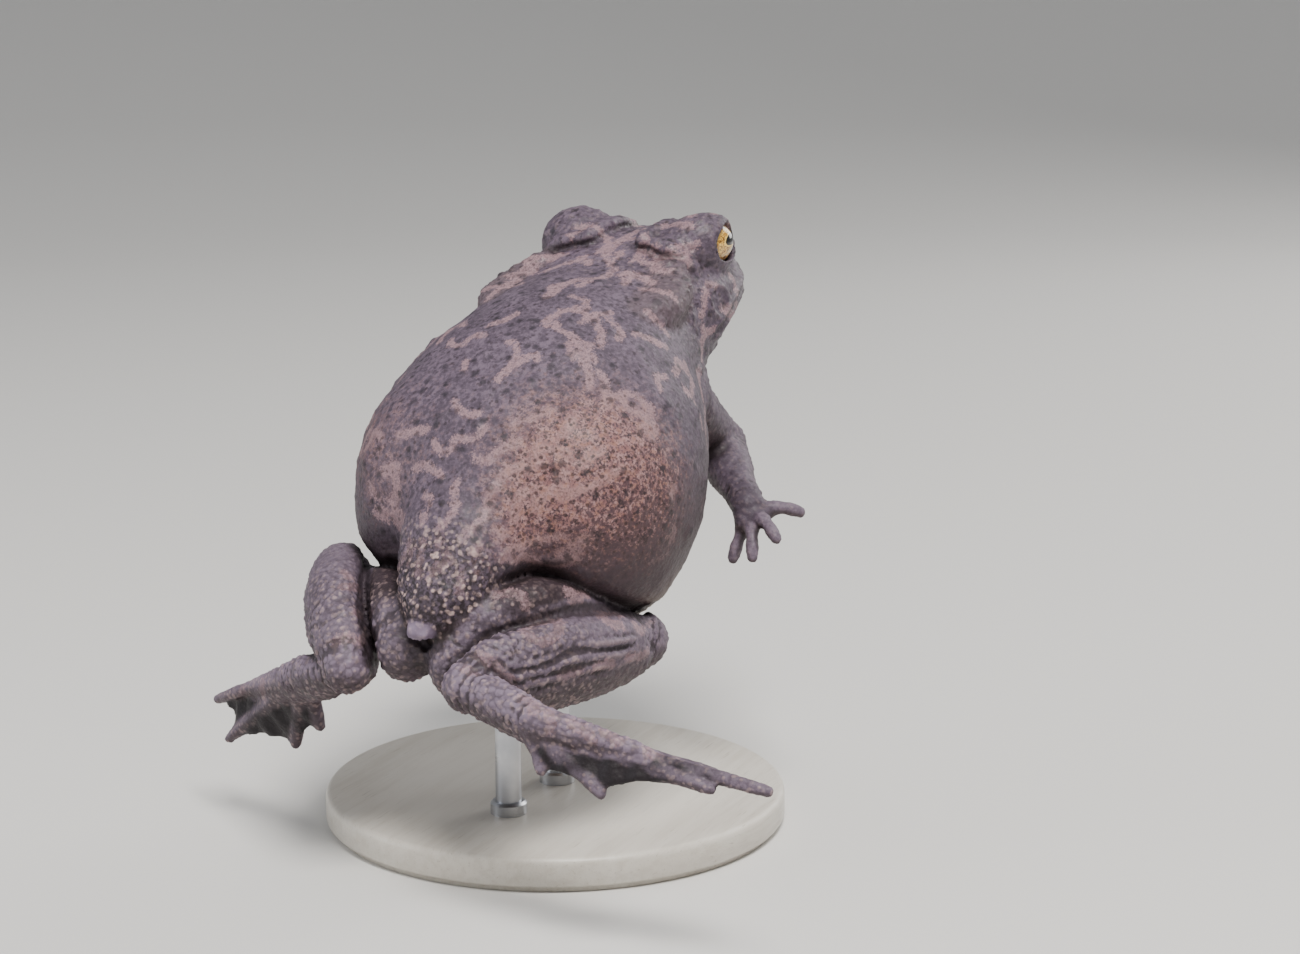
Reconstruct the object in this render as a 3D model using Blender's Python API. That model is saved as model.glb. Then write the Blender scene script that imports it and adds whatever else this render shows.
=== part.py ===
"""A large toad floating head-up in the swimming pose, life size, on a plain display stand.

The toad faces -Y and its right side is at -X. Its own frame has the vent as origin: a place on it is
(along, right, up), in millimetres, along the spine from the vent to the snout, out to the toad's right,
and up from its back. The spine is pitched up by SPINE_PITCH. The part's origin is the middle of the
underside of the stand. All sizes are millimetres until an object's mesh is scaled to metres.
"""
import math
import random

import bmesh
import bpy
import numpy as np
from mathutils import Matrix, Vector

MM = 0.001
GAP = 0.3
HALF_TURN = math.pi

# Facets
TRUNK_SIDES = 34
TRUNK_STEPS = 2
LIMB_SIDES = 14
LIMB_STEPS = 2
DOME_ANGLES = (math.radians(62), math.radians(32))
DIGIT_SIDES = 8
MOUTH_SIDES = 6
MOUTH_STEPS = 12
FLANK_FACETS = (24, 16)
LID_FACETS = (18, 12)
EYE_FACETS = (16, 10)
SMALL_FACETS = (14, 8)
NOSTRIL_FACETS = (8, 6)
BASE_SIDES = 48
ROD_SIDES = 20
SHARP_ANGLE = math.radians(50)

# The toad's frame
SPINE_PITCH = math.radians(27)
VENT = Vector((0, 44, 48))
FORWARD = Vector((0, -math.cos(SPINE_PITCH), math.sin(SPINE_PITCH)))
RIGHT = Vector((-1, 0, 0))
UP = Vector((0, math.sin(SPINE_PITCH), math.cos(SPINE_PITCH)))

# Torso and head sections: distance from the vent, rise of the axis, half width, height above, depth below
TORSO_SECTIONS = [
    (-3.0, -1.0, 3.2, 2.8, 2.8),
    (2.0, -0.5, 7.0, 5.8, 5.2),
    (9.0, 0.0, 10.0, 9.4, 8.5),
    (17.0, -0.5, 13.6, 13.4, 12.5),
    (25.0, -1.5, 21.5, 18.5, 19.5),
    (34.0, -3.0, 27.6, 22.5, 24.5),
    (44.0, -3.5, 28.8, 24.0, 25.5),
    (54.0, -2.0, 26.0, 22.0, 24.0),
    (63.0, 0.0, 21.5, 18.5, 20.0),
    (71.0, 1.5, 19.0, 15.0, 15.5),
    (79.0, 2.6, 19.0, 13.2, 13.0),
    (84.0, 3.2, 18.5, 12.4, 12.0),
]
HEAD_SECTIONS = [
    (64.0, 0.0, 20.0, 18.0, 18.0),
    (71.0, 1.5, 19.0, 15.0, 15.5),
    (79.0, 2.6, 18.9, 12.8, 12.6),
    (85.0, 2.6, 17.8, 12.2, 10.6),
    (91.0, 1.8, 15.4, 10.6, 8.0),
    (95.5, 0.8, 12.2, 8.8, 6.0),
    (98.6, 0.0, 8.6, 6.6, 4.4),
    (100.4, -0.4, 4.4, 3.6, 2.4),
]
SECTION_POWER = 2.15
SNOUT_DOME = 0.6
NECK_CUT = (76.0, 0.0, 3.0)
NECK_LEAN = math.radians(14)

# The neck bends to the toad's right, by this share of the square of the distance past the shoulders
NECK_BEND = 0.0042
NECK_BEND_START = 60.0

# Lung-filled flanks that swell over the thighs
FLANK_PLACE = (33.0, 14.3, -5.5)
FLANK_SIZE = (18.5, 14.2, 20.5)

# Glands and warts
PAROTOID_LINE = [(62.5, 13.8, 12.6), (67.0, 14.8, 11.6), (72.0, 14.2, 11.4), (76.5, 12.2, 12.6)]
PAROTOID_WIDTHS = (3.4, 4.4, 4.2, 3.2)
PAROTOID_FLATNESS = 0.78
WART_COUNT = 44
WART_SPACING = 7.0
WART_RADIUS = (1.3, 2.1)
WART_HEIGHT = 0.6
WART_TRIES = 4000
WART_SEED = 7
WART_ALONG = (8, 68)
WART_ANGLES = (-10, 190)
ABOVE_BACK = (45, 40)

# Head features
EYE_PLACE = (87.4, 12.2, 11.2)
EYE_RADIUS = 4.7
LID_PLACE = (86.8, 9.9, 12.8)
LID_SIZE = (6.6, 5.6, 4.6)
LOWER_LID_PLACE = (87.4, 13.0, 7.9)
LOWER_LID_SIZE = (5.8, 3.4, 2.3)
CREST_RADII = (0.6, 1.15, 1.1)
CREST_INNER = [(93.6, 5.2, 10.6), (88.0, 4.8, 13.8), (81.4, 5.2, 15.0)]
CREST_REAR = [(81.4, 5.2, 15.0), (80.6, 10.0, 14.0), (80.4, 14.5, 10.6)]
TYMPANUM_PLACE = (80.0, 18.2, 4.8)
TYMPANUM_SIZE = (2.9, 1.0, 2.9)
NOSTRIL_PLACE = (97.4, 3.4, 7.2)
NOSTRIL_RADIUS = 0.75
MOUTH_DROP = 1.6
MOUTH_CORNER = 76.5
MOUTH_GROOVE = 0.5
LIP_RADIUS = 0.6
LIP_SHIFTS = (0.6, -0.5)

# Limbs of the right side, and of the left where the pose differs. The left is given with right > 0 too.
RIGHT_LEG = {
    "thigh": [(-3.2, 4.4, -9.6), (6.0, 9.4, -6.9), (14.6, 15.4, -12.0), (20.6, 19.2, -18.6)],
    "knee": (24.0, 22.3, -24.8),
    "heel": (-9.2, 8.4, -7.6),
    "ankle": (-15.0, 23.6, -8.0),
    "toes": [
        (-20.0, 25.0, -12.5),
        (-22.0, 35.6, -13.6),
        (-19.0, 52.5, -12.5),
        (-17.5, 61.0, -12.9),
        (-15.4, 51.9, -13.0),
    ],
}
LEFT_LEG = {
    "thigh": [(-1.0, 6.4, -8.8), (5.5, 10.5, -9.0), (13.0, 19.5, -12.0), (19.0, 26.0, -15.0)],
    "knee": (23.6, 31.4, -17.0),
    "heel": (-6.4, 14.8, -9.6),
    "ankle": (-0.2, 30.8, -20.6),
    "toes": [
        (-0.2, 29.2, -30.3),
        (-0.3, 35.4, -35.4),
        (2.5, 51.3, -39.2),
        (8.9, 56.4, -36.6),
        (5.0, 51.0, -31.5),
    ],
}
THIGH_SIZE = [(5.2, 5.6), (7.0, 6.8), (6.2, 6.4), (5.0, 5.4), (4.2, 4.6)]
SHANK_SIZE = [(4.6, 5.4), (6.2, 8.4), (6.8, 9.3), (6.0, 7.8), (3.8, 4.4)]
SHANK_STATIONS = (0.0, 0.25, 0.5, 0.8, 1.0)
SHANK_BOW = 1.9
TARSUS_SIZE = [(3.6, 4.0), (3.2, 4.2), (2.3, 3.2)]
FOOT_SIZE = [(2.9, 4.0), (2.7, 3.8), (2.2, 3.1), (1.4, 1.7)]
FOOT_START = 0.6
FOOT_STATIONS = (0.22, 0.48)
LONGEST_TOE = 3
TOE_SAG = 0.8
TOE_RADII = (1.7, 1.0)
TOE_SPREAD = 1.8
DIGIT_JOINT = 0.55
WEB_THICKNESS = 0.9
WEB_REACH = (0.94, 0.95, 0.93, 0.95)
WEB_NOTCH = 0.1
WEB_GRID = (6, 5)

RIGHT_ARM = {
    "shoulder": (65.0, 15.0, -6.0),
    "elbow": (75.5, 15.5, -23.5),
    "wrist": (59.5, 27.8, -23.2),
    "fingers": [(52.5, 26.5, -30.0), (50.5, 31.3, -27.5), (52.5, 35.5, -24.5), (61.6, 36.5, -25.8)],
}
LEFT_ARM = {
    "shoulder": (65.0, 15.0, -6.0),
    "elbow": (77.0, 18.0, -22.0),
    "wrist": (63.0, 33.0, -25.0),
    "fingers": [(56.0, 33.0, -32.0), (58.5, 39.0, -33.5), (64.0, 42.5, -31.0), (68.5, 41.5, -26.0)],
}
UPPER_ARM_SIZE = [(6.4, 6.4), (5.2, 5.4), (4.2, 4.4)]
FOREARM_SIZE = [(4.2, 4.4), (4.3, 4.5), (3.2, 3.3), (2.6, 2.7)]
FOREARM_STATIONS = (0.0, 0.35, 0.75, 1.0)
PALM_SIZE = [(2.6, 2.7), (2.8, 2.7), (3.6, 2.2)]
PALM_START = 0.85
PALM_REACH = 0.35
FINGER_RADII = (1.5, 1.1)
FINGER_START = 0.7
FINGER_STEP = 1.2
FINGER_ARCH = 0.8

# Stand
BASE_RADIUS = 40.0
BASE_THICKNESS = 6.0
BASE_BEVEL = 1.0
ROD_RADIUS = 2.2
ROD_PLACES = {"rear": (29.0, 0.0, 0.0), "front": (50.0, 0.0, 0.0)}

# Colours
SKIN = (0.16, 0.13, 0.14, 1)
EYE = (0.35, 0.22, 0.07, 1)
BASE = (0.62, 0.60, 0.56, 1)
STEEL = (0.55, 0.56, 0.58, 1)


def place(spot, hand=1):
    """World point, in mm, of (along, right, up) on the toad; hand -1 mirrors it to the left side."""
    along, right, up = spot
    bend = NECK_BEND * max(0.0, along - NECK_BEND_START) ** 2
    return VENT + along * FORWARD + (hand * right + bend) * RIGHT + up * UP


def frame_matrix(spot, size, hand=1):
    """Matrix that stretches a unit ball to size along the toad's own axes, at a spot."""
    axes = Matrix((FORWARD * size[0], RIGHT * hand * size[1], UP * size[2])).transposed().to_4x4()
    return Matrix.Translation(place(spot, hand)) @ axes


def material(name, colour, roughness, metallic=0.0):
    made = bpy.data.materials.new(name)
    made.use_nodes = True
    shader = made.node_tree.nodes["Principled BSDF"]
    shader.inputs["Base Color"].default_value = colour
    shader.inputs["Roughness"].default_value = roughness
    shader.inputs["Metallic"].default_value = metallic
    return made


def new_object(name, mesh_builder):
    """An object, in millimetres for now, from a closed bmesh whose faces are turned outwards."""
    bmesh.ops.recalc_face_normals(mesh_builder, faces=mesh_builder.faces)
    mesh = bpy.data.meshes.new(name)
    mesh_builder.to_mesh(mesh)
    mesh_builder.free()
    made = bpy.data.objects.new(name, mesh)
    bpy.context.scene.collection.objects.link(made)
    return made


def smoothed(stations, steps):
    """Catmull-Rom curve through rows of numbers, with steps rows for each span."""
    rows = np.array(stations, float)
    padded = np.vstack([2 * rows[0] - rows[1], rows, 2 * rows[-1] - rows[-2]])
    out = []
    for i in range(1, len(padded) - 2):
        a, b, c, d = padded[i - 1 : i + 3]
        for t in np.arange(steps) / steps:
            bow = (2 * a - 5 * b + 4 * c - d) * t**2 + (3 * b - a - 3 * c + d) * t**3
            out.append((2 * b + (c - a) * t + bow) / 2)
    out.append(rows[-1])
    return np.array(out)


def bridge_rings(bm, rings, start_pole, end_pole):
    """Closes a list of equal rings of points into a tube with a pole at each end."""
    loops = [[bm.verts.new(p) for p in ring] for ring in rings]
    count = len(loops[0])
    for low, high in zip(loops, loops[1:]):
        for k in range(count):
            bm.faces.new((low[k], low[(k + 1) % count], high[(k + 1) % count], high[k]))
    for loop, pole in ((loops[0], start_pole), (loops[-1], end_pole)):
        tip = bm.verts.new(pole)
        for k in range(count):
            bm.faces.new((loop[k], loop[(k + 1) % count], tip))


def trunk(name, sections, grow=0.0):
    """Loft through super-elliptic sections of the toad's own frame, grown outwards by a distance."""
    rings = []
    for along, rise, width, above, below in smoothed(sections, TRUNK_STEPS).tolist():
        ring = []
        for k in range(TRUNK_SIDES):
            angle = 2 * HALF_TURN * k / TRUNK_SIDES
            cosine, sine = math.cos(angle), math.sin(angle)
            height = above if sine > 0 else below
            across = math.copysign(abs(cosine) ** (2 / SECTION_POWER), cosine)
            lift = math.copysign(abs(sine) ** (2 / SECTION_POWER), sine)
            ring.append(place((along, (width + grow) * across, rise + (height + grow) * lift)))
        rings.append(ring)
    first, last = sections[0], sections[-1]
    bm = bmesh.new()
    start_pole = place((first[0] - 1.0 - grow, 0, first[1]))
    end_pole = place((last[0] + SNOUT_DOME + grow, 0, last[1]))
    bridge_rings(bm, rings, start_pole, end_pole)
    return new_object(name, bm)


def limb(name, points, sizes, sides=LIMB_SIDES, steps=LIMB_STEPS):
    """Tube with domed ends along points; sizes are its half widths and half heights there."""
    stations = [(*p, w, h) for p, (w, h) in zip(points, sizes)]
    rows = smoothed(stations, steps)
    centres, widths, heights = rows[:, :3], rows[:, 3], rows[:, 4]
    tangents = np.gradient(centres, axis=0)
    rings, poles = [], []
    last = len(centres) - 1
    profile = [(0, -math.sin(a), math.cos(a)) for a in DOME_ANGLES]
    profile += [(i, 0.0, 1.0) for i in range(last + 1)]
    profile += [(last, math.sin(a), math.cos(a)) for a in reversed(DOME_ANGLES)]
    for i, push, shrink in profile:
        tangent = Vector(tangents[i]).normalized()
        side = tangent.cross(UP).normalized()
        lift = side.cross(tangent)
        middle = Vector(centres[i]) + tangent * push * min(widths[i], heights[i])
        ring = []
        for k in range(sides):
            angle = 2 * HALF_TURN * k / sides
            spoke = side * widths[i] * math.cos(angle) + lift * heights[i] * math.sin(angle)
            ring.append(middle + shrink * spoke)
        rings.append(ring)
    for i, sign in ((0, -1), (last, 1)):
        reach = sign * min(widths[i], heights[i])
        poles.append(Vector(centres[i]) + Vector(tangents[i]).normalized() * reach)
    bm = bmesh.new()
    bridge_rings(bm, rings, *poles)
    return new_object(name, bm)


def ball(name, spot, size, hand, facets):
    """Ellipsoid of half sizes along the toad's own axes, at a spot."""
    bm = bmesh.new()
    matrix = frame_matrix(spot, size, hand)
    bmesh.ops.create_uvsphere(bm, u_segments=facets[0], v_segments=facets[1], radius=1.0, matrix=matrix)
    return new_object(name, bm)


def baked(target):
    """Applies an object's modifiers and keeps its largest closed surface."""
    depsgraph = bpy.context.evaluated_depsgraph_get()
    mesh = bpy.data.meshes.new_from_object(target.evaluated_get(depsgraph))
    target.modifiers.clear()
    target.data = mesh
    bm = bmesh.new()
    bm.from_mesh(mesh)
    keep_largest(bm)
    bm.to_mesh(mesh)
    bm.free()
    return target


def keep_largest(bm):
    """Deletes every closed surface but the one with the most volume."""
    left = set(bm.faces)
    shells = []
    while left:
        stack, shell = [left.pop()], []
        while stack:
            face = stack.pop()
            shell.append(face)
            for edge in face.edges:
                for other in edge.link_faces:
                    if other in left:
                        left.remove(other)
                        stack.append(other)
        shells.append(shell)

    def volume(shell):
        return abs(sum(f.verts[0].co.dot(f.normal) * f.calc_area() for f in shell))

    shells.sort(key=volume, reverse=True)
    doomed = [face for shell in shells[1:] for face in shell]
    bmesh.ops.delete(bm, geom=doomed, context="FACES")


def boolean(target, tools, operation):
    """Joins tools to target, or cuts them from it, in one Boolean, and removes them."""
    group = bpy.data.collections.new(target.name + "_tools")
    for tool in tools:
        group.objects.link(tool)
    cut = target.modifiers.new("boolean", "BOOLEAN")
    cut.operation = operation
    cut.operand_type = "COLLECTION"
    cut.collection = group
    cut.solver = "EXACT"
    baked(target)
    for tool in tools:
        bpy.data.objects.remove(tool)
    bpy.data.collections.remove(group)
    return target


def keep_side(target, point, normal):
    """Cuts an object by a plane, keeps the side the normal points to and closes the cut."""
    bm = bmesh.new()
    bm.from_mesh(target.data)
    geometry = bm.verts[:] + bm.edges[:] + bm.faces[:]
    bmesh.ops.bisect_plane(bm, geom=geometry, plane_co=point, plane_no=normal, clear_inner=True)
    rim = [edge for edge in bm.edges if edge.is_boundary]
    bmesh.ops.holes_fill(bm, edges=rim)
    bmesh.ops.recalc_face_normals(bm, faces=bm.faces)
    bm.to_mesh(target.data)
    bm.free()
    return target


def fold_normal(joint, before, after):
    """Normal of the plane that halves a bent joint, pointing to the limb before it."""
    return ((before - joint).normalized() - (after - joint).normalized()).normalized()


def part_at(joint, normal, before_piece, after_piece):
    """Parts two overlapping pieces of a limb by a plane, with the gap between them."""
    keep_side(before_piece, joint + normal * GAP / 2, normal)
    keep_side(after_piece, joint - normal * GAP / 2, -normal)


def torso_shape(name, grow=0.0):
    """Trunk with its two swollen flanks."""
    body = trunk(name, TORSO_SECTIONS, grow)
    swell = [size + grow for size in FLANK_SIZE]
    flanks = [ball(f"{name}_flank{hand}", FLANK_PLACE, swell, hand, FLANK_FACETS) for hand in (1, -1)]
    return boolean(body, flanks, "UNION")


def parotoids():
    """Kidney-shaped gland behind each eye."""
    sizes = [(width, width * PAROTOID_FLATNESS) for width in PAROTOID_WIDTHS]
    lines = [[place(spot, hand) for spot in PAROTOID_LINE] for hand in (1, -1)]
    return [limb("parotoid", line, sizes) for line in lines]


def scattered_warts(body):
    """Low round warts set on the surface of body, at random spots that keep their spacing."""
    draw = random.Random(WART_SEED)
    found, warts = [], []
    for _ in range(WART_TRIES):
        hit, spot, normal, _ = body.closest_point_on_mesh(on_back(draw))
        near = any((spot - other).length < WART_SPACING for other in found)
        if not hit or near or len(found) == WART_COUNT:
            continue
        found.append(spot.copy())
        radius = draw.uniform(*WART_RADIUS)
        turn = normal.to_track_quat("Z", "Y").to_matrix().to_4x4()
        spin = Matrix.Rotation(draw.uniform(0, HALF_TURN), 4, "Z")
        shape = Matrix.Diagonal((radius, radius, WART_HEIGHT, 1))
        bm = bmesh.new()
        matrix = Matrix.Translation(spot) @ turn @ spin @ shape
        bmesh.ops.create_icosphere(bm, subdivisions=1, radius=1.0, matrix=matrix)
        warts.append(new_object("wart", bm))
    return warts


def on_back(draw):
    """A random guess above the toad's back and flanks."""
    angle = math.radians(draw.uniform(*WART_ANGLES))
    across, height = ABOVE_BACK
    return place((draw.uniform(*WART_ALONG), across * math.cos(angle), height * math.sin(angle)))


def make_torso():
    """Torso with its parotoid glands, parted from the head at the neck."""
    torso = torso_shape("torso")
    boolean(torso, parotoids(), "UNION")
    normal = -(FORWARD * math.cos(NECK_LEAN) - UP * math.sin(NECK_LEAN))
    keep_side(torso, place(NECK_CUT) + normal * GAP / 2, normal)
    return torso


def section_at(along):
    """Head section at a distance from the vent, between the given ones."""
    table = smoothed(HEAD_SECTIONS, 6)
    return [float(np.interp(along, table[:, 0], table[:, column])) for column in range(1, 5)]


def mouth_bead(name, radius, shift):
    """Bead along the mouth from corner to corner round the snout, shifted up from its line."""
    run = np.linspace(0, HALF_TURN / 2, MOUTH_STEPS)
    drop = MOUTH_DROP - shift
    snout = HEAD_SECTIONS[-1][0]
    spots = []
    for turn in run:
        along = MOUTH_CORNER + (snout - MOUTH_CORNER) * math.sin(turn)
        rise, width, _, below = section_at(along)
        across = width * (1 - (drop / below) ** SECTION_POWER) ** (1 / SECTION_POWER)
        spots.append((along, across, rise - drop))
    tip = (snout + SNOUT_DOME * (1 - drop / below), 0.0, rise - drop)
    line = [place(s) for s in spots] + [place(tip)] + [place((a, -r, u)) for a, r, u in reversed(spots)]
    return limb(name, line, [(radius, radius)] * len(line), sides=MOUTH_SIDES, steps=1)


def make_head():
    """Head with lids, eardrums, crests and lips, cut for mouth, eyes and nostrils, parted at the neck."""
    head = trunk("head", HEAD_SECTIONS)
    added = [mouth_bead("lip", LIP_RADIUS, shift) for shift in LIP_SHIFTS]
    removed = [mouth_bead("mouth_groove", MOUTH_GROOVE, 0.0)]
    for hand in (1, -1):
        added.append(ball("lid", LID_PLACE, LID_SIZE, hand, LID_FACETS))
        added.append(ball("lower_lid", LOWER_LID_PLACE, LOWER_LID_SIZE, hand, SMALL_FACETS))
        added.append(ball("tympanum", TYMPANUM_PLACE, TYMPANUM_SIZE, hand, SMALL_FACETS))
        for crest in (CREST_INNER, CREST_REAR):
            sizes = [(radius, radius) for radius in CREST_RADII]
            added.append(limb("crest", [place(p, hand) for p in crest], sizes, DIGIT_SIDES))
        removed.append(ball("socket", EYE_PLACE, [EYE_RADIUS + GAP] * 3, hand, EYE_FACETS))
        removed.append(ball("nostril", NOSTRIL_PLACE, [NOSTRIL_RADIUS] * 3, hand, NOSTRIL_FACETS))
    boolean(head, added, "UNION")
    boolean(head, removed, "DIFFERENCE")
    normal = FORWARD * math.cos(NECK_LEAN) - UP * math.sin(NECK_LEAN)
    return keep_side(head, place(NECK_CUT) + normal * GAP / 2, normal)


def make_eyes():
    size = [EYE_RADIUS] * 3
    sides = (("right", 1), ("left", -1))
    return [ball(f"eye_{side}", EYE_PLACE, size, hand, EYE_FACETS) for side, hand in sides]


def web(root_a, tip_a, root_b, tip_b, face, reach):
    """Membrane between two toes with a hollow margin, alike on both faces."""
    rows, columns = WEB_GRID
    half = face.normalized() * WEB_THICKNESS / 2
    bm = bmesh.new()
    skins = []
    for side in (1, -1):
        grid = []
        for j in range(columns + 1):
            across = j / columns
            root = root_a.lerp(root_b, across)
            tip = tip_a.lerp(tip_b, across)
            length = reach * (1 - WEB_NOTCH * math.sin(HALF_TURN * across))
            run = [root.lerp(tip, length * i / rows) + side * half for i in range(rows + 1)]
            grid.append([bm.verts.new(spot) for spot in run])
        skins.append(grid)
    for grid in skins:
        for j in range(columns):
            for i in range(rows):
                a, b, c, d = grid[j][i], grid[j + 1][i], grid[j + 1][i + 1], grid[j][i + 1]
                bm.faces.new((a, b, c))
                bm.faces.new((a, c, d))
    top, bottom = skins
    walk = [(j, 0) for j in range(columns + 1)] + [(columns, i) for i in range(1, rows + 1)]
    walk += [(j, rows) for j in range(columns - 1, -1, -1)] + [(0, i) for i in range(rows - 1, 0, -1)]
    for (j, i), (m, n) in zip(walk, walk[1:] + walk[:1]):
        bm.faces.new((top[j][i], top[m][n], bottom[m][n], bottom[j][i]))
    return new_object("web", bm)


def digit(name, root, tip, bow, radii):
    """Tapered finger or toe that bows a little at its middle joint and ends in a round pad."""
    middle = root.lerp(tip, DIGIT_JOINT) + bow
    sizes = [radii[0], sum(radii) / 2, radii[1]]
    return limb(name, [root, middle, tip], [(r, r) for r in sizes], DIGIT_SIDES)


def make_leg(side, hand, pose):
    """Thigh, shank, tarsus and webbed foot of one hind leg, folded as a Z."""
    knee, heel, ankle = (place(pose[joint], hand) for joint in ("knee", "heel", "ankle"))
    thigh_line = [place(spot, hand) for spot in pose["thigh"]] + [knee]
    thigh = limb(f"thigh_{side}", thigh_line, THIGH_SIZE)
    shank_line = [knee.lerp(heel, t) + UP * SHANK_BOW * math.sin(HALF_TURN * t) for t in SHANK_STATIONS]
    shank = limb(f"shank_{side}", shank_line, SHANK_SIZE)
    tarsus = limb(f"tarsus_{side}", [heel, heel.lerp(ankle, 0.5), ankle], TARSUS_SIZE)
    part_at(knee, fold_normal(knee, thigh_line[-2], heel), thigh, shank)
    part_at(heel, fold_normal(heel, knee, ankle), shank, tarsus)
    middle_line = RIGHT * hand
    keep_side(thigh, place((0, 0, 0)) + middle_line * GAP / 2, middle_line)
    boolean(thigh, [torso_shape("room", GAP)], "DIFFERENCE")
    boolean(shank, [torso_shape("room", GAP)], "DIFFERENCE")
    foot = make_foot(side, hand, pose, heel, ankle)
    along_foot = (ankle - heel).normalized()
    part_at(ankle, -along_foot, tarsus, foot)
    return thigh, shank, tarsus, foot


def make_foot(side, hand, pose, heel, ankle):
    """Five toes and the webs between them, fused."""
    tips = [place(p, hand) for p in pose["toes"]]
    fan = (tips[0] - tips[4]).normalized()
    roots = [ankle + fan * TOE_SPREAD * (1 - k / 2) for k in range(5)]
    face = fan.cross(tips[LONGEST_TOE] - ankle)
    sag = face.normalized() * TOE_SAG
    foot_line = [heel.lerp(ankle, FOOT_START), ankle]
    foot_line += [ankle.lerp(tips[LONGEST_TOE], share) for share in FOOT_STATIONS]
    foot = limb(f"foot_{side}", foot_line, FOOT_SIZE)
    pieces = [digit("toe", root, tip, sag, TOE_RADII) for root, tip in zip(roots, tips)]
    for k, reach in enumerate(WEB_REACH):
        pieces.append(web(roots[k], tips[k], roots[k + 1], tips[k + 1], face, reach))
    return boolean(foot, pieces, "UNION")


def make_arm(side, hand, pose):
    """Upper arm, forearm and four-fingered hand of one side."""
    shoulder, elbow, wrist = (place(pose[k], hand) for k in ("shoulder", "elbow", "wrist"))
    upper = limb(f"upper_arm_{side}", [shoulder, shoulder.lerp(elbow, 0.5), elbow], UPPER_ARM_SIZE)
    fore = limb(f"forearm_{side}", [elbow.lerp(wrist, t) for t in FOREARM_STATIONS], FOREARM_SIZE)
    part_at(elbow, fold_normal(elbow, shoulder, wrist), upper, fore)
    boolean(upper, [torso_shape("room", GAP)], "DIFFERENCE")
    tips = [place(p, hand) for p in pose["fingers"]]
    palm_end = wrist.lerp(sum(tips, Vector()) / len(tips), PALM_REACH)
    palm = limb(f"hand_{side}", [elbow.lerp(wrist, PALM_START), wrist, palm_end], PALM_SIZE)
    arch = Vector((0, 0, FINGER_ARCH))
    fingers = []
    for tip in tips:
        root = wrist.lerp(palm_end, FINGER_START) + (tip - palm_end).normalized() * FINGER_STEP
        fingers.append(digit("finger", root, tip, arch, FINGER_RADII))
    boolean(palm, fingers, "UNION")
    part_at(wrist, (elbow - wrist).normalized(), fore, palm)
    return upper, fore, palm


def cylinder(foot, radius, height, sides):
    """Upright cylinder that stands on foot."""
    bm = bmesh.new()
    matrix = Matrix.Translation(foot + Vector((0, 0, height / 2)))
    size = {"radius1": radius, "radius2": radius, "depth": height}
    bmesh.ops.create_cone(bm, cap_ends=True, segments=sides, matrix=matrix, **size)
    return bm


def make_stand():
    """Flat round base and two rods cut to the underside of the belly."""
    base = cylinder(Vector((0, 0, 0)), BASE_RADIUS, BASE_THICKNESS, BASE_SIDES)
    rim = [edge for edge in base.edges if min(v.co.z for v in edge.verts) > BASE_THICKNESS / 2]
    bmesh.ops.bevel(base, geom=rim, offset=BASE_BEVEL, segments=2, affect="EDGES")
    made = [new_object("stand_base", base)]
    for name, spot in ROD_PLACES.items():
        axis = place(spot)
        low = BASE_THICKNESS + GAP
        foot = Vector((axis.x, axis.y, low))
        rod = new_object(f"stand_rod_{name}", cylinder(foot, ROD_RADIUS, axis.z - low, ROD_SIDES))
        boolean(rod, [torso_shape("room", GAP)], "DIFFERENCE")
        made.append(rod)
    return made


def finish(objects, finish_material):
    """Scales finished objects to metres and gives them their material and shading."""
    for made in objects:
        made.data.transform(Matrix.Scale(MM, 4))
        made.data.materials.clear()
        made.data.materials.append(finish_material)
        made.data.shade_smooth()
        made.data.set_sharp_from_angle(angle=SHARP_ANGLE)


def main():
    for old in list(bpy.data.objects):
        bpy.data.objects.remove(old)
    torso = make_torso()
    flesh = [torso, make_head()]
    flesh += make_leg("right", 1, RIGHT_LEG)
    flesh += make_leg("left", -1, LEFT_LEG)
    flesh += make_arm("right", 1, RIGHT_ARM)
    flesh += make_arm("left", -1, LEFT_ARM)
    stand = make_stand()
    boolean(torso, scattered_warts(torso), "UNION")
    finish(flesh, material("toad_skin", SKIN, 0.55))
    finish(make_eyes(), material("eye", EYE, 0.12))
    finish(stand[:1], material("stand_base", BASE, 0.5))
    finish(stand[1:], material("stand_rod", STEEL, 0.3, 1.0))


main()
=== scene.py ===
"""Looks of the large toad that floats head up on its plain display stand.

The toad has a frame of its own, with the vent as origin: a place in it is (along, right, up) in millimetres,
along the spine towards the snout, out to the toad's right, and up from its back. One closed skin covers every
node of flesh. It is worked out as a distance field in that frame, because limbs, webs, folds and lids that
melt into one another aren't a surface of two parameters. The eyes and the stand are such surfaces.
"""
import math
from types import SimpleNamespace

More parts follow.
